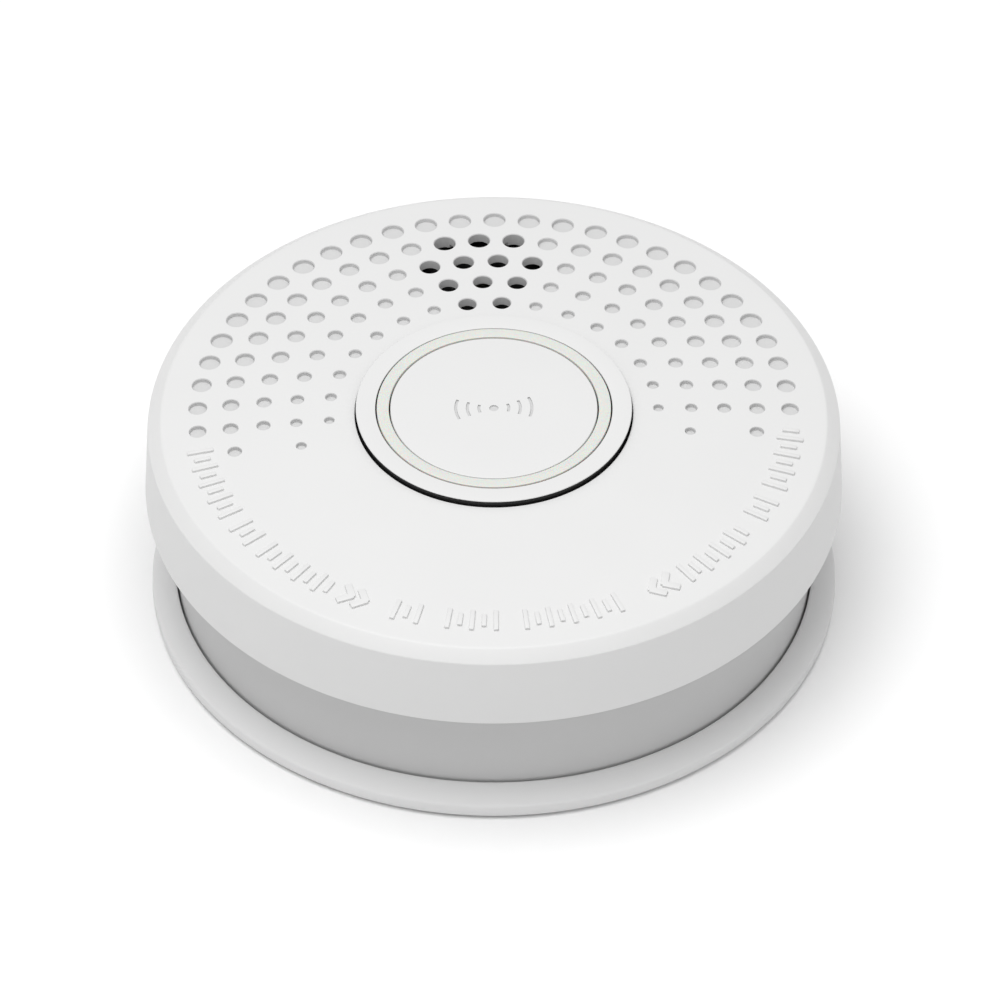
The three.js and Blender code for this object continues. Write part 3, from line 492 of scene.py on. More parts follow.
# %% [markdown]
# ## Front cover
# The cover is one moulding: a shallow dome, a bevel and an upright skirt, all about 2 mm thick. The dome
# carries five rings of small round dimples. Ring n would hold 6 n of them in a full turn, so they stay evenly
# spaced, and the twelve at the far side go right through and let the horn out.

# %% Dome outline
DOME_SAG_RADIUS = 610.0
CREASE_INSET, CREASE_DROP = 2.25, 1.95
TOP_WALL, SKIRT_WALL, SKIRT_DRAFT = 2.3, 2.0, 0.34
BUTTON_SLIT = 0.15
DOME_RINGS = 24

side_radius = cover_radius - SKIRT_DRAFT
crease_radius = side_radius - CREASE_INSET
hole_radius = button_radius + BUTTON_SLIT
dome_top = cover_top + hole_radius ** 2 / (2 * DOME_SAG_RADIUS)


def dome(r):
    return dome_top - r * r / (2 * DOME_SAG_RADIUS)


def dome_slope(r):
    return atan(r / DOME_SAG_RADIUS)


def cover_outline():
    shoulder = dome(crease_radius) - CREASE_DROP
    inner = side_radius - SKIRT_WALL
    outer_radii = [crease_radius + (hole_radius - crease_radius) * k / DOME_RINGS for k in range(1, DOME_RINGS)]
    dome_points = [(r, dome(r)) for r in outer_radii]
    inner_points = [(hole_radius + step, dome(hole_radius + step) - TOP_WALL) for step in (8, 16, 24)]
    return [
        (hole_radius, dome(hole_radius) - TOP_WALL, 0.2), *inner_points, (inner, dome(inner) - TOP_WALL, 0.8),
        (cover_radius - SKIRT_WALL, skirt_bottom, 0.15), (cover_radius, skirt_bottom, 0.2),
        (side_radius, shoulder, 0.2), (crease_radius, dome(crease_radius), 0.3), *dome_points,
        (hole_radius, dome(hole_radius), 0.2),
    ]


front_cover = lathe("cover_shell", cover_outline())
paint(front_cover, white_plastic)

# %% Dimples and sound holes
RING_PITCH = 5.71
RINGS = {5: (0, 15), 6: (-1, 19), 7: (0, 21), 8: (-1, 25), 9: (0, 27)}  # first and last place of each ring
SOUND_HOLES = {5: (7, 8), 6: (8, 10), 7: (9, 12), 8: (11, 13)}
FIRST_RING, FAR_SIDE = 5, 90
DIMPLE_RADIUS, DIMPLE_GROWTH, DIMPLE_DEPTH = 1.07, 0.195, 0.8
HOLE_RADIUS, HOLE_GROWTH = 1.55, 0.1
FADE_START, FADE = 65, 0.0085  # dimples further than this from the far side shrink by this much a degree
PATCH_MIDDLE, PATCH_RADIUS, PATCH_WALL = 37.4, 10.8, 1.75
LIP, FLARE = 0.14, 0.5  # width of the small chamfer round each hole, and how far the cutter carries on
PEG_SIDES, PATCH_SIDES = 28, 64
FACING = 0.9  # a face looks along an axis if its normal's part along it is above this


def hole_cutter(radius, depth):
    """An upright peg whose top flares out at 45 degrees, with the finished surface at height zero."""
    bpy.ops.mesh.primitive_cylinder_add(
        vertices=PEG_SIDES, radius=radius * MM, depth=(depth - LIP) * MM,
        location=(0, 0, -(depth + LIP) / 2 * MM),
    )
    cutter = bpy.context.object
    settle(cutter)
    pick(cutter, "FACE", lambda face: face.normal.z > FACING)
    bpy.ops.mesh.extrude_region_move(TRANSFORM_OT_translate={"value": (0, 0, (LIP + FLARE) * MM)})
    grown = (radius + LIP + FLARE) / radius
    bpy.ops.transform.resize(value=(grown, grown, 1))
    object_mode()
    # the cut faces take this darker plastic, as painted shade in the dimples and holes
    paint(cutter, shaded_recess_plastic)
    return cutter


def on_dome(piece, r, degrees):
    """Stands a piece that was modelled at the origin upright on the dome, facing outwards from the middle."""
    angle = radians(degrees)
    spot = Vector((r * cos(angle), r * sin(angle), dome(r))) * MM
    lean = Matrix.Rotation(angle, 4, "Z") @ Matrix.Rotation(dome_slope(r), 4, "Y")
    piece.matrix_world = Matrix.Translation(spot) @ lean @ piece.matrix_world


def dimple_cutters():
    pegs = []
    for ring, (first, last) in RINGS.items():
        through_first, through_last = SOUND_HOLES.get(ring, (1, 0))
        dimple = hole_cutter(DIMPLE_RADIUS + (ring - FIRST_RING) * DIMPLE_GROWTH, DIMPLE_DEPTH)
        through = hole_cutter(HOLE_RADIUS + (ring - FIRST_RING) * HOLE_GROWTH, TOP_WALL + 1.5)
        for place in range(first, last + 1):
            degrees = place * 60 / ring
            peg = copy_of(through if through_first <= place <= through_last else dimple, "peg")
            shrink = 1 - FADE * max(0, abs(degrees - FAR_SIDE) - FADE_START)
            peg.matrix_world = Matrix.Diagonal((shrink, shrink, 1, 1))
            on_dome(peg, ring * RING_PITCH, degrees)
            pegs.append(peg)
        bpy.data.objects.remove(dimple)
        bpy.data.objects.remove(through)
    return pegs


def thinned_patch():
    """The round pocket that thins the wall behind the sound holes."""
    depth = TOP_WALL + 1
    place = (0, 0, -(PATCH_WALL + depth / 2) * MM)
    bpy.ops.mesh.primitive_cylinder_add(
        vertices=PATCH_SIDES, radius=PATCH_RADIUS * MM, depth=depth * MM, location=place
    )
    pocket = bpy.context.object
    settle(pocket)
    on_dome(pocket, PATCH_MIDDLE, FAR_SIDE)
    settle(pocket)
    paint(pocket, white_plastic)
    return pocket


carve(front_cover, thinned_patch())
pegs = dimple_cutters()
print("dimples and holes:", len(pegs))
all_pegs = joined(pegs)
settle(all_pegs)
carve(front_cover, all_pegs)
hang(front_cover, "white_plastic", "front_cover", sharp=18)
print("cover faces after carving:", len(front_cover.data.polygons))

# %% [markdown]
# ## Raised marks on the cover
# Near the edge, three bands of low raised marks run round the front. They are plain radial bars in groups, long
# and short in turn, and a double chevron at each side that points the way the head turns. Each bar has rounded
# edges and stands square on the dome.

# %% Bars and chevrons
MARK_RADIUS, MARK_LENGTH, MARK_WIDTH, MARK_HEIGHT = 51.5, 4.6, 0.8, 0.45
MARK_SINK = 0.15
SHORT_SHARE = 0.62  # length of every second bar
BAR_STEP, CHEVRON_STEP = 2.3, 3.0  # degrees
BAR_GROUPS = ((186, 9), (208.5, 3), (217, 8), (247.5, 3), (258, 5), (273, 9), (307, 8), (328.5, 3), (337.5, 8))
CHEVRONS = ((237.3, 1), (302.7, -1))
ARM_LENGTH, ARM_WIDTH, ARM_LEAN, ARM_SHIFT = 3.1, 1.3, 42, 0.95


def bar(length, width=MARK_WIDTH):
    height = MARK_HEIGHT + MARK_SINK
    return block("bar", (length, width, height), (0, 0, MARK_HEIGHT - height / 2), rounding=0.1)


def chevron():
    arms = []
    for side in (-1, 1):
        arm = bar(ARM_LENGTH, ARM_WIDTH)
        lean = Matrix.Rotation(radians(side * ARM_LEAN), 4, "Z")
        arm.matrix_world = Matrix.Translation((side * ARM_SHIFT * MM, 0, 0)) @ lean.inverted()
        settle(arm)
        arms.append(arm)
    carve(arms[0], arms[1], "UNION")
    return arms[0]


def marks():
    pieces = []
    for start, count in BAR_GROUPS:
        for k in range(count):
            piece = bar(MARK_LENGTH if k % 2 == 0 else MARK_LENGTH * SHORT_SHARE)
            on_dome(piece, MARK_RADIUS, start + k * BAR_STEP)
            pieces.append(piece)
    for start, way in CHEVRONS:
        for step in range(2):
            piece = chevron()
            piece.matrix_world = Matrix.Rotation(0 if way > 0 else pi, 4, "Z")
            on_dome(piece, MARK_RADIUS, start + way * step * CHEVRON_STEP)
            pieces.append(piece)
    return pieces


raised_marks = joined(marks())
raised_marks.name = "raised_marks"
settle(raised_marks)
hang(raised_marks, "white_plastic", sharp=40)

# %% [markdown]
# ## Test button
# The button is three rings and a disc in one plane: a thin white rim, a milky light ring, and a white cap. Fine
# dark gaps part them, because the black carrier shows through. Its black is painted shade, standing in for the
# shadow in these gaps and in the band under the rim. The rim's edge is cut back underneath, so from in front it
# floats above a dark band.

# %% Rim, light ring and cap
RIM_WIDTH, RIM_UNDERCUT = 3.4, 0.75
LIGHT_WIDTH, LIGHT_DEPTH, LIGHT_RISE = 2.1, 2.0, 0.1
LEG_FOOT, LEG_TOP, LEG_TURN = 0.95, 0.85, 24
RING_GAP = 0.25


def test_button():
    rim_inner = button_radius - RIM_WIDTH
    under = low("button_rim")
    rim = lathe("rim_ring", [
        (rim_inner, under, 0.05), (button_radius - RIM_UNDERCUT, under, 0.05),
        (button_radius, button_top - 0.2, 0.12), (button_radius - 0.06, button_top, 0.12),
        (rim_inner, button_top, 0.12),
    ])
    hang(rim, "white_plastic", "button_rim", body="button")

    light_outer = rim_inner - RING_GAP
    light_inner = light_outer - LIGHT_WIDTH
    light_top = button_top + LIGHT_RISE
    light_low = high("light_guide") - LIGHT_DEPTH
    light = lathe("light_ring", [
        (light_inner, light_low, 0.1), (light_outer, light_low, 0.1), (light_outer, light_top, 0.16),
        (light_inner, light_top, 0.16),
    ])
    legs = []
    leg_circle = (light_inner + light_outer) / 2
    foot = low("light_guide")
    for degrees in (0, 90, 180):
        spot = (leg_circle * cos(radians(degrees)), leg_circle * sin(radians(degrees)))
        outline = [(0, foot), (LEG_FOOT, foot, 0.15), (LEG_TOP, light_low + ROOT), (0, light_low + ROOT)]
        legs.append(lathe("leg", outline, LEG_TURN, middle=spot))
    hang(joined([light, *legs]), "milky_plastic", "light_guide", body="button")

    cap_radius = light_inner - RING_GAP
    cap_low = low("button_cap")
    cap = lathe("cap_disc", [
        (0, cap_low), (cap_radius, cap_low, 0.1), (cap_radius, button_top, 0.2),
        (cap_radius * 0.5, button_top), (0, button_top),
    ])
    paint(cap, white_plastic)
    carve(cap, wave_grooves())
    hang(cap, "white_plastic", "button_cap", body="button", sharp=25)


# %% [markdown]
# The cap carries a plain sign for sound: a dot between two sets of waves, cut in as fine grooves.

# %% Sign on the cap
WAVE_RADII = (2.6, 4.6, 6.6)
WAVE_DEGREES = 44
GROOVE_WIDTH, GROOVE_DEPTH, DOT_RADIUS = 0.5, 0.3, 0.8


def wave_grooves():
    bottom, above = button_top - GROOVE_DEPTH, button_top + 1
    parts = []
    for radius in WAVE_RADII:
        for middle in (0, 180):
            inner, outer = radius - GROOVE_WIDTH / 2, radius + GROOVE_WIDTH / 2
            outline = [(inner, bottom), (outer, bottom), (outer, above), (inner, above)]
            start = middle - WAVE_DEGREES / 2
            parts.append(lathe("wave", outline, 20, degrees=WAVE_DEGREES, start=start))
    parts.append(lathe("dot", disc(DOT_RADIUS, bottom, above), 28))
    grooves = joined(parts)
    # the grooves take the darker plastic, as painted shade in the cut
    paint(grooves, shaded_recess_plastic)
    return grooves


test_button()

# %% [markdown]
# Under the rim sits the black carrier, which guides the button in the cover's hole, holds the light ring and
# presses the switch with its stem. Three tabs catch under the cover.

# %% Carrier
CARRIER_GAP, CARRIER_DROP, CARRIER_FLOOR = 0.4, 2.3, 1.6
STEM_RADIUS = 2.6
FRAME_TOP_WALL = 2.5  # thickness of the cover's dome in the frame, which the tabs catch under
TAB_WALL, TAB_REACH, TAB_HEIGHT, TAB_GAP = 1.6, 1.4, 1.4, 0.3
TAB_MIDDLES, TAB_DEGREES = (30, 150, 270), 14


def button_carrier():
    radius = hole_radius - CARRIER_GAP
    low_z = low("button_cap") - CARRIER_DROP
    drum_top = low("button_rim") - 0.1
    light_outer = button_radius - RIM_WIDTH
    parts = [lathe("carrier_drum", [
        (0, low_z), (radius, low_z, 0.3), (radius, drum_top, 0.1), (light_outer, drum_top, 0.1),
        (light_outer, low_z + CARRIER_FLOOR, 0.1), (0, low_z + CARRIER_FLOOR),
    ], MIDDLE_TURN)]
    stem = disc(STEM_RADIUS, low("button_carrier"), low_z + ROOT, 0.3)
    parts.append(lathe("stem", stem, TINY_TURN))
    tab_top = dome(hole_radius + TAB_WALL) - FRAME_TOP_WALL - TAB_GAP
    tab_foot, tab_inner, tab_outer = tab_top - TAB_HEIGHT, radius - TAB_WALL, hole_radius + TAB_REACH
    for middle in TAB_MIDDLES:
        outline = [
            (tab_inner, tab_foot, 0.1), (tab_outer, tab_foot, 0.2), (tab_outer, tab_top, 0.2),
            (radius - 0.2, tab_top), (radius - 0.2, low_z + ROOT), (tab_inner, low_z + ROOT),
        ]
        parts.append(lathe("tab", outline, 8, degrees=TAB_DEGREES, start=middle - TAB_DEGREES / 2))
    # the carrier is black as painted shade: it shows as the shadow in the gaps and under the rim
    hang(joined(parts), "black_plastic", "button_carrier", body="button")


button_carrier()

# %% [markdown]
# ## Rear housing
# The neck and the floor of the head are one moulding. Twelve windows under the cover's skirt let the air in,
# four curved slots in the floor take the plate's hooks, and a walled bay holds the battery.

# %% Neck and floor
FLOOR_LIFT, FLOOR_THICKNESS = 3.0, 2.0
NECK_DRAFT, NECK_WALL, NECK_GAP = 0.55, 1.8, 0.35
WINDOWS, WINDOW_DEGREES, WINDOW_START = 12, 20, 15
HOOK_INSET, HOOK_WALL, HOOK_REACH, HOOK_PLAY = 9.3, 2, 5, 0.4
SLOT_DEGREES, ENTRY_DEGREES, FIRST_SLOT = 36, 16, -28
BAY_WALL, BAY_PLAY, BAY_TOP_GAP = 1.5, 0.45, 0.5
TUBE_INNER, TUBE_OUTER = 3.0, 4.1
SCREW_HEAD = 2.7
CORNER_SIGNS = ((1, 1), (-1, 1), (-1, -1), (1, -1))
PAST = 1  # how far a cutter runs past the piece it cuts


def curved_slot(inner, outer, low_z, high_z, start, degrees):
    outline = [(inner, low_z), (outer, low_z), (outer, high_z), (inner, high_z)]
    return lathe("slot", outline, 16, degrees=degrees, start=start)


def bay_walls(bay_low, bay_high, bay_half, floor_top):
    """Three walls round the battery, and a tube for each case screw, all up to just under the board."""
    top = low("circuit_board") - BAY_TOP_GAP
    foot = floor_top - ROOT
    height = top - floor_top + ROOT
    middle, length = (bay_low + bay_high) / 2, bay_high - bay_low
    walls = []
    for side in (-1, 1):
        place = (middle, side * (bay_half + BAY_WALL / 2), foot + height / 2)
        walls.append(block("wall", (length + 1, BAY_WALL, height), place, rounding=0.3))
    place = (bay_high + 0.35, 0, foot + height / 2)
    walls.append(block("wall", (BAY_WALL, 2 * bay_half + 2.8, height), place, rounding=0.3))
    out = high("case_screw_1", 0) - SCREW_HEAD
    tube = [(TUBE_INNER, foot), (TUBE_OUTER, foot), (TUBE_OUTER, top, 0.3), (TUBE_INNER, top, 0.3)]
    for sign_x, sign_y in CORNER_SIGNS:
        walls.append(lathe("tube", tube, TINY_TURN, middle=(out * sign_x, out * sign_y)))
    return walls


def rear_housing():
    top = high("rear_housing")
    floor_top = FLOOR_LIFT + FLOOR_THICKNESS
    inner = neck_radius - NECK_DRAFT - NECK_WALL
    hook_inner = neck_radius + NECK_GAP - HOOK_INSET
    shell = lathe("neck_housing", [
        (0, FLOOR_LIFT), (neck_radius, FLOOR_LIFT, 0.5), (neck_radius - NECK_DRAFT, top, 0.25),
        (inner, top, 0.25), (inner, floor_top, 0.6), (0, floor_top),
    ])
    windows, slots, entries = [], [], []
    for k in range(WINDOWS):
        start = WINDOW_START + k * 360 / WINDOWS - WINDOW_DEGREES / 2
        sides, heights = (inner - PAST, neck_radius + PAST), (board_top + 1, top - 2)
        windows.append(curved_slot(*sides, *heights, start, WINDOW_DEGREES))
    carve(shell, joined(windows))
    heights = (FLOOR_LIFT - PAST, floor_top + PAST)
    for start in range(FIRST_SLOT, FIRST_SLOT + 360, 90):
        sides = (hook_inner - HOOK_PLAY, hook_inner + HOOK_WALL + HOOK_PLAY)
        slots.append(curved_slot(*sides, *heights, start, SLOT_DEGREES))
        sides = (hook_inner + HOOK_WALL, hook_inner + HOOK_REACH + HOOK_PLAY)
        entries.append(curved_slot(*sides, *heights, start, ENTRY_DEGREES))
    carve(shell, joined(slots))
    carve(shell, joined(entries))
    bay_low, bay_high = low("battery_door", 0) - 0.3, high("battery_door", 0) + 0.4
    bay_half = high("battery", 1) + BAY_PLAY
    carve(shell, block("opening", (bay_high - bay_low, 2 * bay_half, 4), ((bay_low + bay_high) / 2, 0, 4)))
    housing = joined([shell, *bay_walls(bay_low, bay_high, bay_half, floor_top)])
    # the whole housing gets the greyer plastic, as painted shade for the neck under the cover
    paint(housing, shaded_housing_plastic)
    return housing


hang(rear_housing(), "white_plastic", "rear_housing", sharp=30)

# %% [markdown]
# ## Ceiling plate
# The plate stays on the ceiling. Only its sloping rim shows, with a fine dark gap where the neck sinks into it.
# Behind are the web with its curved screw slots, a rib that the head turns on, and the hooks.

# %% Plate
RIM_SIDE, RIM_TOP, RIM_SLOPE, RIM_WALL = 3.1, 5.2, 4.05, 1.5
WEB, OPENING_RADIUS = 2.2, 32.0
SCREW_SLOT = (38, 42)  # inner and outer radius
SCREW_SLOT_DEGREES = 30
RIB_INNER, RIB_OUTER, RIB_TOP = 34.5, 36, 2.9
HOOK_UNDER, HOOK_TOP, HOOK_DEGREES = 5.3, 7.2, 12
WEB_ROOT = 0.2


def ceiling_plate():
    lip = rim_radius - RIM_SLOPE
    plate = lathe("plate_ring", [
        (OPENING_RADIUS, 0, 0.3), (lip + RIM_WALL, 0, 0.2), (lip + RIM_WALL, RIM_TOP - 2.4, 0.2),
        (rim_radius - RIM_WALL, RIM_SIDE - 1.6, 0.2), (rim_radius - RIM_WALL, 0, 0.1),
        (rim_radius - 1.05, 0, 0.3), (rim_radius, 1.05, 0.8), (rim_radius, RIM_SIDE, 0.35),
        (lip + 0.4, RIM_TOP, 0.2), (lip, RIM_TOP, 0.15), (lip, WEB, 0.4), (OPENING_RADIUS, WEB, 0.3),
    ])
    cutters = []
    for middle in (45, 135, 225, 315):
        start = middle - SCREW_SLOT_DEGREES / 2
        cutters.append(curved_slot(*SCREW_SLOT, -PAST, WEB + PAST, start, SCREW_SLOT_DEGREES))
    carve(plate, joined(cutters))
    foot = WEB - WEB_ROOT
    rib = [(RIB_INNER, foot), (RIB_OUTER, foot), (RIB_OUTER, RIB_TOP, 0.2), (RIB_INNER, RIB_TOP, 0.2)]
    parts = [plate, lathe("rib", rib)]
    hook_inner = lip - HOOK_INSET
    hook_neck, hook_tip = hook_inner + HOOK_WALL, hook_inner + HOOK_REACH
    for middle in (0, 90, 180, 270):
        outline = [
            (hook_inner, foot), (hook_neck, foot), (hook_neck, HOOK_UNDER, 0.2), (hook_tip, HOOK_UNDER, 0.3),
            (hook_tip, HOOK_TOP, 0.4), (hook_inner, HOOK_TOP, 0.4),
        ]
        parts.append(lathe("hook", outline, 8, degrees=HOOK_DEGREES, start=middle - HOOK_DEGREES / 2))
    return joined(parts)


hang(ceiling_plate(), "white_plastic", "ceiling_plate", body="mount", sharp=30)

# %% [markdown]
# ## Battery door and its label
# The door closes the battery bay from behind. It has a hinge barrel with a pin at each end, a sprung latch with
# a small barb at its free end, and finger ridges beside the latch. Its label is left blank.

# %% Door
BARREL_RADIUS, PIN_RADIUS, PIN_LENGTH, HINGE_TURN = 1.3, 0.85, 1.7, 40
DOOR_THICKNESS, LATCH_THICKNESS = 1.6, 0.7
RIDGE_COUNT, RIDGE_STEP = 5, 1.3


def battery_door():
    door_low, door_high = corners("battery_door")
    hinge_x, hinge_z = door_low.x + BARREL_RADIUS, FLOOR_LIFT + BARREL_RADIUS + 0.1
    half = door_high.y - PIN_LENGTH
    under, upper, end = FLOOR_LIFT, FLOOR_LIFT + DOOR_THICKNESS, door_high.x
    parts = [block("door", (end - hinge_x - 0.5, 2 * half, upper - under),
                   ((end + hinge_x + 0.5) / 2, 0, (upper + under) / 2), rounding=0.35)]
    for radius, length in ((BARREL_RADIUS, half), (PIN_RADIUS, half + PIN_LENGTH)):
        rod = lathe("hinge", disc(radius, -length, length, 0.15, 0.15), HINGE_TURN)
        rod.matrix_world = Matrix.Translation((hinge_x * MM, 0, hinge_z * MM)) @ Matrix.Rotation(pi / 2, 4, "X")
        settle(rod)
        parts.append(rod)
    tongue = (LATCH_THICKNESS, 2 * half / 3, door_high.z - upper + 0.5)
    parts.append(block("latch", tongue, (end - 0.65, 0, door_high.z - tongue[2] / 2), rounding=0.15))
    for k in range(RIDGE_COUNT):
        place = (end - 1.2 - k * RIDGE_STEP, 0, under - 0.02)
        parts.append(block("ridge", (0.6, half, 0.5), place, rounding=0.15))
    door = joined(parts)
    door.name = "door_panel"
    hang(door, "white_plastic", "battery_door", body="door")
    label_low, label_high = corners("door_label")
    size, middle = label_high - label_low, (label_high + label_low) / 2
    size.x -= RIDGE_COUNT * RIDGE_STEP
    middle.x -= RIDGE_COUNT * RIDGE_STEP / 2
    label = block("blank_label", size, middle, rounding=0.05)
    hang(label, "paper_label", "door_label", body="door", sharp=0)


battery_door()

# %% [markdown]
# ## Battery
# The battery is a plain metal jacket, rounded along its length, with its end plates crimped in.

# %% Battery jacket
JACKET_ROUND, CRIMP_WIDTH, CRIMP_STEP, CRIMP_DEPTH = 2.2, 0.5, 0.15, 0.4


def battery():
    jacket_low, jacket_high = corners("battery")
    size, middle = jacket_high - jacket_low, (jacket_high + jacket_low) / 2
    jacket = block("battery_can", size, middle)
    points = jacket.data.vertices
    pick(jacket, "EDGE", lambda edge: abs(points[edge.vertices[0]].co.x - points[edge.vertices[1]].co.x) > MM)
    bpy.ops.mesh.bevel(offset=JACKET_ROUND * MM, segments=8, affect="EDGES")
    object_mode()
    pick(jacket, "FACE", lambda face: abs(face.normal.x) > FACING)
    bpy.ops.mesh.inset(thickness=CRIMP_WIDTH * MM, depth=0)
    bpy.ops.mesh.inset(thickness=CRIMP_STEP * MM, depth=-CRIMP_DEPTH * MM)
    object_mode()
    hang(jacket, "battery_jacket", "battery")


battery()

# %% [markdown]
# ## Case screws
# Four pan-head screws with a cross recess are sunk in the tubes of the housing. One is turned, with fine rings
# for its thread, and copied four times.

# %% Screws
THREAD_PITCH, THREAD_ROOT, THREAD_CREST = 1.0, 1.15, 1.4
SHANK_RADIUS, HEAD_HEIGHT, THREAD_START = 1.3, 1.9, 5
TURN_STEP = 0.7  # radians from the recess of one screw to the next, as no two stop alike


def case_screws():
    first_low, first_high = corners("case_screw_1")
    middle = (first_low + first_high) / 2
    foot, tip = first_low.z, first_high.z
    under_head, thread_start = foot + HEAD_HEIGHT, foot + THREAD_START
    threads = []
    for k in range(int((tip - 2 - thread_start) / THREAD_PITCH)):
        z = thread_start + k * THREAD_PITCH
        threads += [(THREAD_ROOT, z), (THREAD_CREST, z + THREAD_PITCH / 2)]
    outline = [
        (0, foot), (2.1, foot, 0.9), (SCREW_HEAD, foot + 1.1, 0.5), (SCREW_HEAD, under_head, 0.15),
        (SHANK_RADIUS, under_head, 0.15), (SHANK_RADIUS, thread_start - 0.5), *threads,
        (THREAD_ROOT, tip - 1.6), (0, tip),
    ]
    screw = lathe("screw", outline, TINY_TURN)
    paint(screw, finishes["spring_steel"])
    for turn_degrees in (0, 90):
        carve(screw, block("slot", (2.8, 0.7, 1.6), (0, 0, foot + 0.4), turn_degrees))
    for k, (sign_x, sign_y) in enumerate(CORNER_SIGNS):
        spot = Matrix.Translation((middle.x * sign_x * MM, middle.y * sign_y * MM, 0))
        turned_copy = copy_of(screw, f"cross_screw_{k + 1}")
        turned_copy.matrix_world = spot @ Matrix.Rotation(k * TURN_STEP, 4, "Z")
        settle(turned_copy)
        hang(turned_copy, "spring_steel", f"case_screw_{k + 1}")
    bpy.data.objects.remove(screw)


case_screws()

# %% [markdown]
# ## Return spring
# A real spring of drawn wire stands round the switch. It is drawn as a curve with a round section, and made a
# mesh.

# %% Spring
SPRING_WIRE, SPRING_TURNS, SPRING_STEPS = 0.35, 6, 40
FLAT_TURNS = 0.6  # of the wire lie flat at each end


def spring():
    low_corner, high_corner = corners("return_spring")
    radius = high_corner.x - SPRING_WIRE
    first, last = low_corner.z + SPRING_WIRE, high_corner.z - SPRING_WIRE
    bpy.ops.curve.primitive_nurbs_path_add()
    path = bpy.context.object
    path.name = "coil_spring"
    path.data.splines.clear()
    strand = path.data.splines.new("POLY")
    strand.points.add(SPRING_TURNS * SPRING_STEPS)
    for i, point in enumerate(strand.points):
        wound = i / SPRING_STEPS
        angle = wound * 2 * pi
        rise = first + (last - first) * min(1, max(0, (wound - FLAT_TURNS) / (SPRING_TURNS - 2 * FLAT_TURNS)))
        point.co = (radius * cos(angle) * MM, radius * sin(angle) * MM, rise * MM, 1)
    path.data.bevel_depth = SPRING_WIRE * MM
    path.data.bevel_resolution = 3
    path.data.use_fill_caps = True
    only(path)
    bpy.ops.object.convert(target="MESH")
    coil = bpy.context.object
    hang(coil, "spring_steel", "return_spring", sharp=40)
    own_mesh(coil)
    print("spring length:", round(last - first, 2), "mm")


spring()

# %% [markdown]
# ## Inside the head
# The small turned pieces need little more than an outline each: `turned` spins it about the middle of a frame
# node's box and takes over from that node.

# %% Turned pieces on the board
def turned(name, node, slot, outline, body="head"):
    piece = lathe(name, outline, SMALL_TURN, middle=middle_of(node))
    hang(piece, slot, node, body=body)


def span(node):
    return low(node), high(node), radius_of(node)


def capacitor_outline():
    foot, top, r = span("capacitor")
    return [
        (0, foot), (r, foot, 0.3), (r, foot + 1.1, 0.15), (r - 0.35, foot + 1.5, 0.2), (r, foot + 1.9, 0.15),
        (r, top, 0.5), (r - 0.7, top, 0.15), (r - 0.9, top - 0.25, 0.1), (0, top - 0.25),
    ]


def coil_outline(flange=1.2, wire=0.5):
    foot, top, r = span("boost_coil")
    turns = []
    for k in range(int((top - foot - 2 * flange) / wire)):
        z = foot + flange + k * wire
        turns += [(r - 0.8, z), (r - 0.55, z + wire / 2, 0.12)]
    return [
        (0, foot), (r, foot, 0.2), (r, foot + flange, 0.2), *turns, (r - 0.8, top - flange),
        (r, top - flange, 0.2), (r, top, 0.2), (1.2, top, 0.2), (0.9, top - 1, 0.2), (0, top - 1),
    ]


turned("capacitor_can", "capacitor", "black_plastic", capacitor_outline())
turned("wound_coil", "boost_coil", "copper_winding", coil_outline())
foot, top, radius = span("switch_plunger")
pin = disc(radius, foot, top, 0.1, 0.4)
turned("plunger_pin", "switch_plunger", "black_plastic", pin, "plunger")

# %% [markdown]
# The horn is a cup with a ledge for the piezo disc, a lid with a port, and a foam ring that seals it against
# the cover. Sound leaves through the port and the twelve holes above it.

# %% Horn
HORN_WALL, HORN_FLOOR, LEDGE_WIDTH, LEDGE_GAP = 1.5, 1.2, 1.3, 0.1
PORT_RADIUS, PORT_WALL, PORT_DEPTH = 4, 1.2, 2.2
GASKET_WIDTH = 2


def horn():
    foot, top, outer = span("horn_base")
    inner, ledge = outer - HORN_WALL, low("piezo_disc") - LEDGE_GAP
    well = inner - LEDGE_WIDTH
    turned("horn_cup", "horn_base", "black_plastic", [
        (0, foot), (outer, foot, 0.4), (outer, top, 0.25), (inner, top, 0.25), (inner, ledge, 0.1),
        (well, ledge, 0.2), (well, foot + HORN_FLOOR, 0.4), (0, foot + HORN_FLOOR),
    ])
    foot, top, outer = span("horn_cap")
    port_outer, under = PORT_RADIUS + PORT_WALL, top - 1.2
    turned("horn_lid", "horn_cap", "black_plastic", [
        (PORT_RADIUS, top - PORT_DEPTH, 0.3), (port_outer, top - PORT_DEPTH, 0.3), (port_outer, under, 0.3),
        (inner, under, 0.5), (inner, foot, 0.25), (outer, foot, 0.25), (outer, top, 0.5),
        (PORT_RADIUS, top, 0.4),
    ])
    for name, node, slot, rounding in (
        ("piezo_plate", "piezo_disc", "brass_sheet", 0.08),
        ("piezo_crystal", "piezo_ceramic", "ceramic", 0.06),
    ):
        foot, top, outer = span(node)
        turned(name, node, slot, disc(outer, foot, top, rounding, rounding))
    foot, top, outer = span("horn_gasket")
    inner = outer - GASKET_WIDTH
    turned("foam_ring", "horn_gasket", "foam", [
        (inner, foot, 0.2), (outer, foot, 0.2), (outer, top, 0.2), (inner, top, 0.2),
    ])


horn()

# %% [markdown]
# The smoke chamber keeps light out and lets air in: fifteen slanted vanes stand in a ring inside a fine mesh,
# under a rimmed cap. Inside, the infrared emitter and receiver look past each other.

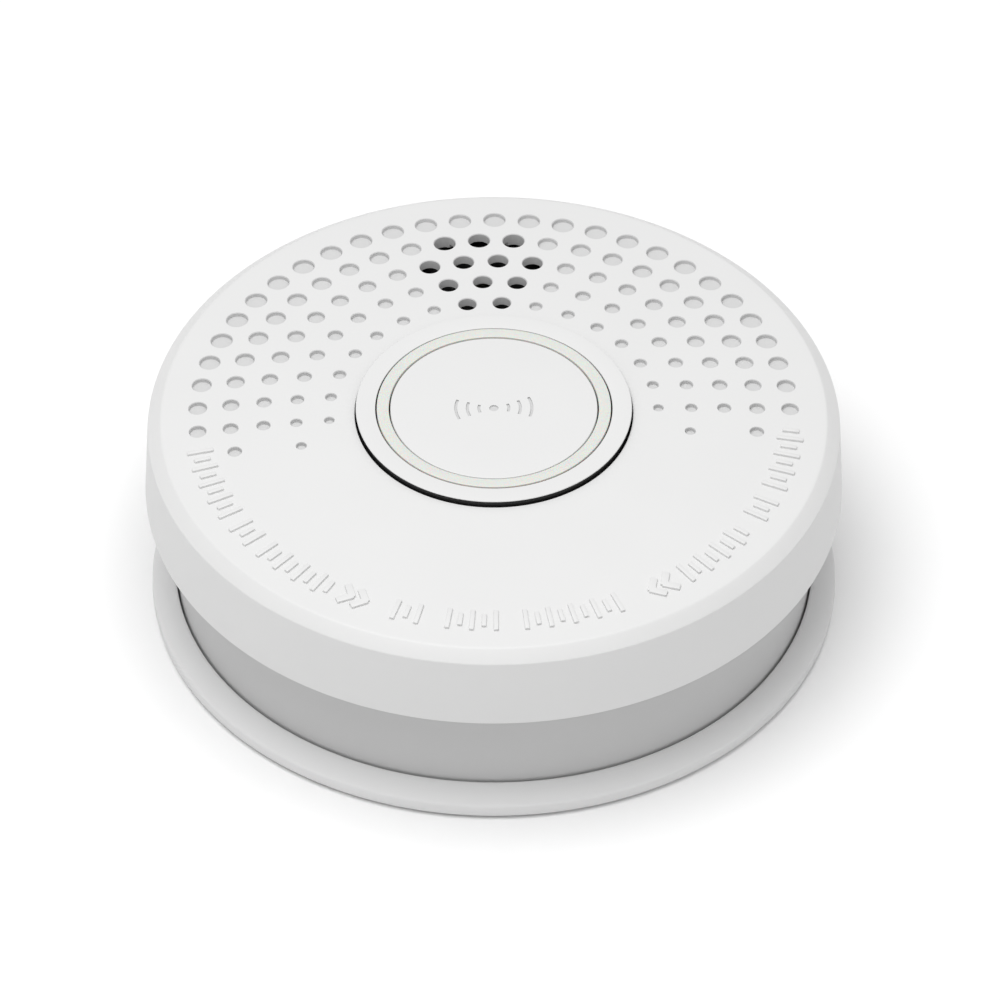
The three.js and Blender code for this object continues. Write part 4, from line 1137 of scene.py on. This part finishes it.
# %% Smoke chamber
BASE_THICKNESS, LID_THICKNESS = 1.5, 1.5
VANE_COUNT, VANE_TURN, VANE_LENGTH, VANE_THICKNESS, VANE_INSET = 15, 38, 5, 0.9, 2.85
MESH_ROWS, MESH_WIRE, MESH_INSET, MESH_END = 14, 0.22, 0.2, 0.1
GROOVE_RADII = (14, 13.7, 11.3, 11)  # of the shallow ring in the lid, from its outer edge inwards
EYE_DISTANCE, EYE_RADIUS, EYE_FLANGE, EYE_LENGTH = 11.2, 1.5, 1.8, 5.4
EYES = {"infrared_emitter": 204, "infrared_receiver": 336}  # degrees round the chamber's middle


def in_chamber(piece, distance, degrees, height, first_turn):
    x, y = middle_of("insect_screen")
    around, out = Matrix.Rotation(radians(degrees), 4, "Z"), Matrix.Translation((distance * MM, 0, 0))
    place = Matrix.Translation((x * MM, y * MM, height * MM)) @ around @ out
    piece.matrix_world = place @ first_turn @ piece.matrix_world
    settle(piece)


def vaned_base():
    foot, top, outer = span("chamber_base")
    outline = disc(outer, foot, foot + BASE_THICKNESS, 0.3, 0.3)
    parts = [lathe("labyrinth", outline, middle=middle_of("chamber_base"))]
    height = top - foot - 1
    slant = Matrix.Rotation(radians(VANE_TURN), 4, "Z")
    for k in range(VANE_COUNT):
        vane = block("vane", (VANE_LENGTH, VANE_THICKNESS, height), (0, 0, 0), rounding=0.2)
        in_chamber(vane, outer - VANE_INSET, 90 + k * 360 / VANE_COUNT, top - height / 2, slant)
        parts.append(vane)
    hang(joined(parts), "black_plastic", "chamber_base")


def chamber_lid():
    foot, top, outer = span("chamber_cap")
    inner, under, groove = radius_of("insect_screen") + 0.15, top - LID_THICKNESS, top - 0.3
    out, wall_out, wall_in, back = GROOVE_RADII
    turned("chamber_lid", "chamber_cap", "black_plastic", [
        (0, under), (inner, under, 0.2), (inner, foot, 0.15), (outer, foot, 0.15), (outer, top - 0.8, 0.4),
        (outer - 0.8, top, 0.4), (out, top, 0.15), (wall_out, groove, 0.1), (wall_in, groove, 0.1),
        (back, top, 0.15), (0, top),
    ])


def fine_mesh():
    foot, top, radius = low("insect_screen"), high("insect_screen"), radius_of("insect_screen") - MESH_INSET
    first, tall = foot + MESH_END, top - foot - 2 * MESH_END
    rows = [(radius, first + tall * k / MESH_ROWS) for k in range(MESH_ROWS + 1)]
    mesh = lathe("fine_mesh", rows, MIDDLE_TURN, middle=middle_of("insect_screen"), closed=False)
    wires = mesh.modifiers.new("wires", "WIREFRAME")
    wires.thickness = MESH_WIRE * MM
    wires.use_boundary = True
    only(mesh)
    bpy.ops.object.modifier_apply(modifier=wires.name)
    hang(mesh, "spring_steel", "insect_screen", sharp=0)


def infrared_eyes():
    height = (low("infrared_emitter") + high("infrared_emitter")) / 2
    dome_foot = EYE_LENGTH - EYE_RADIUS
    angles = [radians(degrees) for degrees in range(0, 90, 10)]
    dome_points = [(EYE_RADIUS * cos(a), dome_foot + EYE_RADIUS * sin(a)) for a in angles]
    outline = [
        (0, 0), (EYE_FLANGE, 0, 0.15), (EYE_FLANGE, 0.8, 0.15), (EYE_RADIUS, 0.8, 0.1), *dome_points,
        (0, EYE_LENGTH),
    ]
    for node, degrees in EYES.items():
        eye = lathe(node.replace("infrared", "eye"), outline, SMALL_TURN)
        in_chamber(eye, EYE_DISTANCE, degrees, height, Matrix.Rotation(-pi / 2, 4, "Y"))
        hang(eye, "clear_lens", node)


vaned_base()
chamber_lid()
fine_mesh()
infrared_eyes()

# %% [markdown]
# The rest are small moulded blocks: the switch with its well, the three lamps under the light ring's legs, the
# control chip with bent legs, and the battery's studs and contact strips.

# %% Blocks on the board
BULB_RISE, BULB_RADIUS = 0.3, 1.1
WELL_RADIUS, HOLE_IN_BOARD = 2.0, 1.7
CHIP_WIDTH, CHIP_LENGTH, CHIP_LIFT, CHIP_LEGS = 6.2, 10, 0.2, 6
# a bent leg is a foot, an upright and a shoulder: each one's length, height, place inwards and lift
LEG_PARTS = ((0.5, 0.18, 0.25, 0.09), (0.18, 0.9, 0.5, 0.45), (0.6, 0.18, 0.75, 0.81))
ROD_TURN = 44  # no corner falls at 45 degrees, where the board's own edges run through its screw holes


def box_block(name, node, rounding, lowered=0.0):
    low_corner, high_corner = corners(node)
    high_corner.z -= lowered
    return block(name, high_corner - low_corner, (low_corner + high_corner) / 2, rounding=rounding)


def upright_rod(name, radius, foot, top, middle=(0, 0), rounding=0.0):
    outline = disc(radius, foot, top, rounding, rounding)
    return lathe(name, outline, ROD_TURN, middle=middle)


def switch_case():
    switch = box_block("switch_case", "switch_body", 0.25)
    paint(switch, black_plastic)
    carve(switch, upright_rod("well", WELL_RADIUS, low("switch_plunger") - 0.35, high("switch_body") + PAST))
    hang(switch, "black_plastic", "switch_body", sharp=0)


def ring_lamps():
    for k in range(1, 4):
        node = f"ring_led_{k}"
        top = high(node)
        case = box_block(f"lamp_{k}", node, 0.2, BULB_RISE)
        bulb = upright_rod("bulb", BULB_RADIUS, top - 2 * BULB_RISE, top, middle_of(node), BULB_RISE - 0.05)
        led = joined([case, bulb])
        led.name = f"lamp_{k}"
        hang(led, "clear_lens", node)


def control_chip():
    foot, top, legs_out = low("control_chip"), high("control_chip"), high("control_chip", 0)
    x, y = middle_of("control_chip")
    size = (CHIP_WIDTH, CHIP_LENGTH, top - foot - CHIP_LIFT)
    body = block("chip_case", size, (x, y, (top + foot + CHIP_LIFT) / 2), rounding=0.15)
    paint(body, black_plastic)
    parts = [body]
    for side in (-1, 1):
        end = x + side * (legs_out - x)
        for k in range(CHIP_LEGS):
            along = y + (k - (CHIP_LEGS - 1) / 2) * CHIP_LENGTH / CHIP_LEGS
            for length, height, inwards, lift in LEG_PARTS:
                place = (end - side * inwards, along, foot + lift)
                leg = block("leg", (length, 0.5, height), place, rounding=0.03)
                paint(leg, finishes["spring_steel"])
                parts.append(leg)
    hang(joined(parts), "black_plastic", "control_chip", sharp=0)


def printed_board():
    foot, top, outer = span("circuit_board")
    board = lathe("printed_board", disc(outer, foot, top, 0.1, 0.1))
    paint(board, finishes["board_laminate"])
    for k in range(1, 5):
        hole = upright_rod("hole", HOLE_IN_BOARD, foot - PAST, top + PAST, middle_of(f"case_screw_{k}"))
        paint(hole, finishes["board_laminate"])
        carve(board, hole)
    hang(board, "board_laminate", "circuit_board", sharp=30)


switch_case()
ring_lamps()
control_chip()
printed_board()


# %% Battery studs and contacts
STUDS = (("positive", 64, 2.9), ("negative", 6, 3.8))  # pole, number of sides, radius
STUD_WALL, STUD_FLOOR = 0.9, 0.5


def battery_ends():
    for pole, sides, outer in STUDS:
        node = f"battery_stud_{pole}"
        length = high(node, 0) - low(node, 0)
        inner = outer - STUD_WALL
        stud = lathe(f"stud_{pole}", [
            (0, 0), (outer - 0.2, 0, 0.1), (outer, length, 0.25), (inner, length, 0.25),
            (inner, STUD_FLOOR, 0.3), (0, STUD_FLOOR),
        ], sides)
        y, z = middle_of(node)[1], (low(node) + high(node)) / 2
        spot = Matrix.Translation(Vector((low(node, 0), y, z)) * MM)
        stud.matrix_world = spot @ Matrix.Rotation(pi / 2, 4, "Y")
        settle(stud)
        hang(stud, "spring_steel", node)
        strip = box_block(f"contact_{pole}", f"battery_contact_{pole}", 0.1)
        hang(strip, "brass_sheet", f"battery_contact_{pole}", sharp=0)


battery_ends()
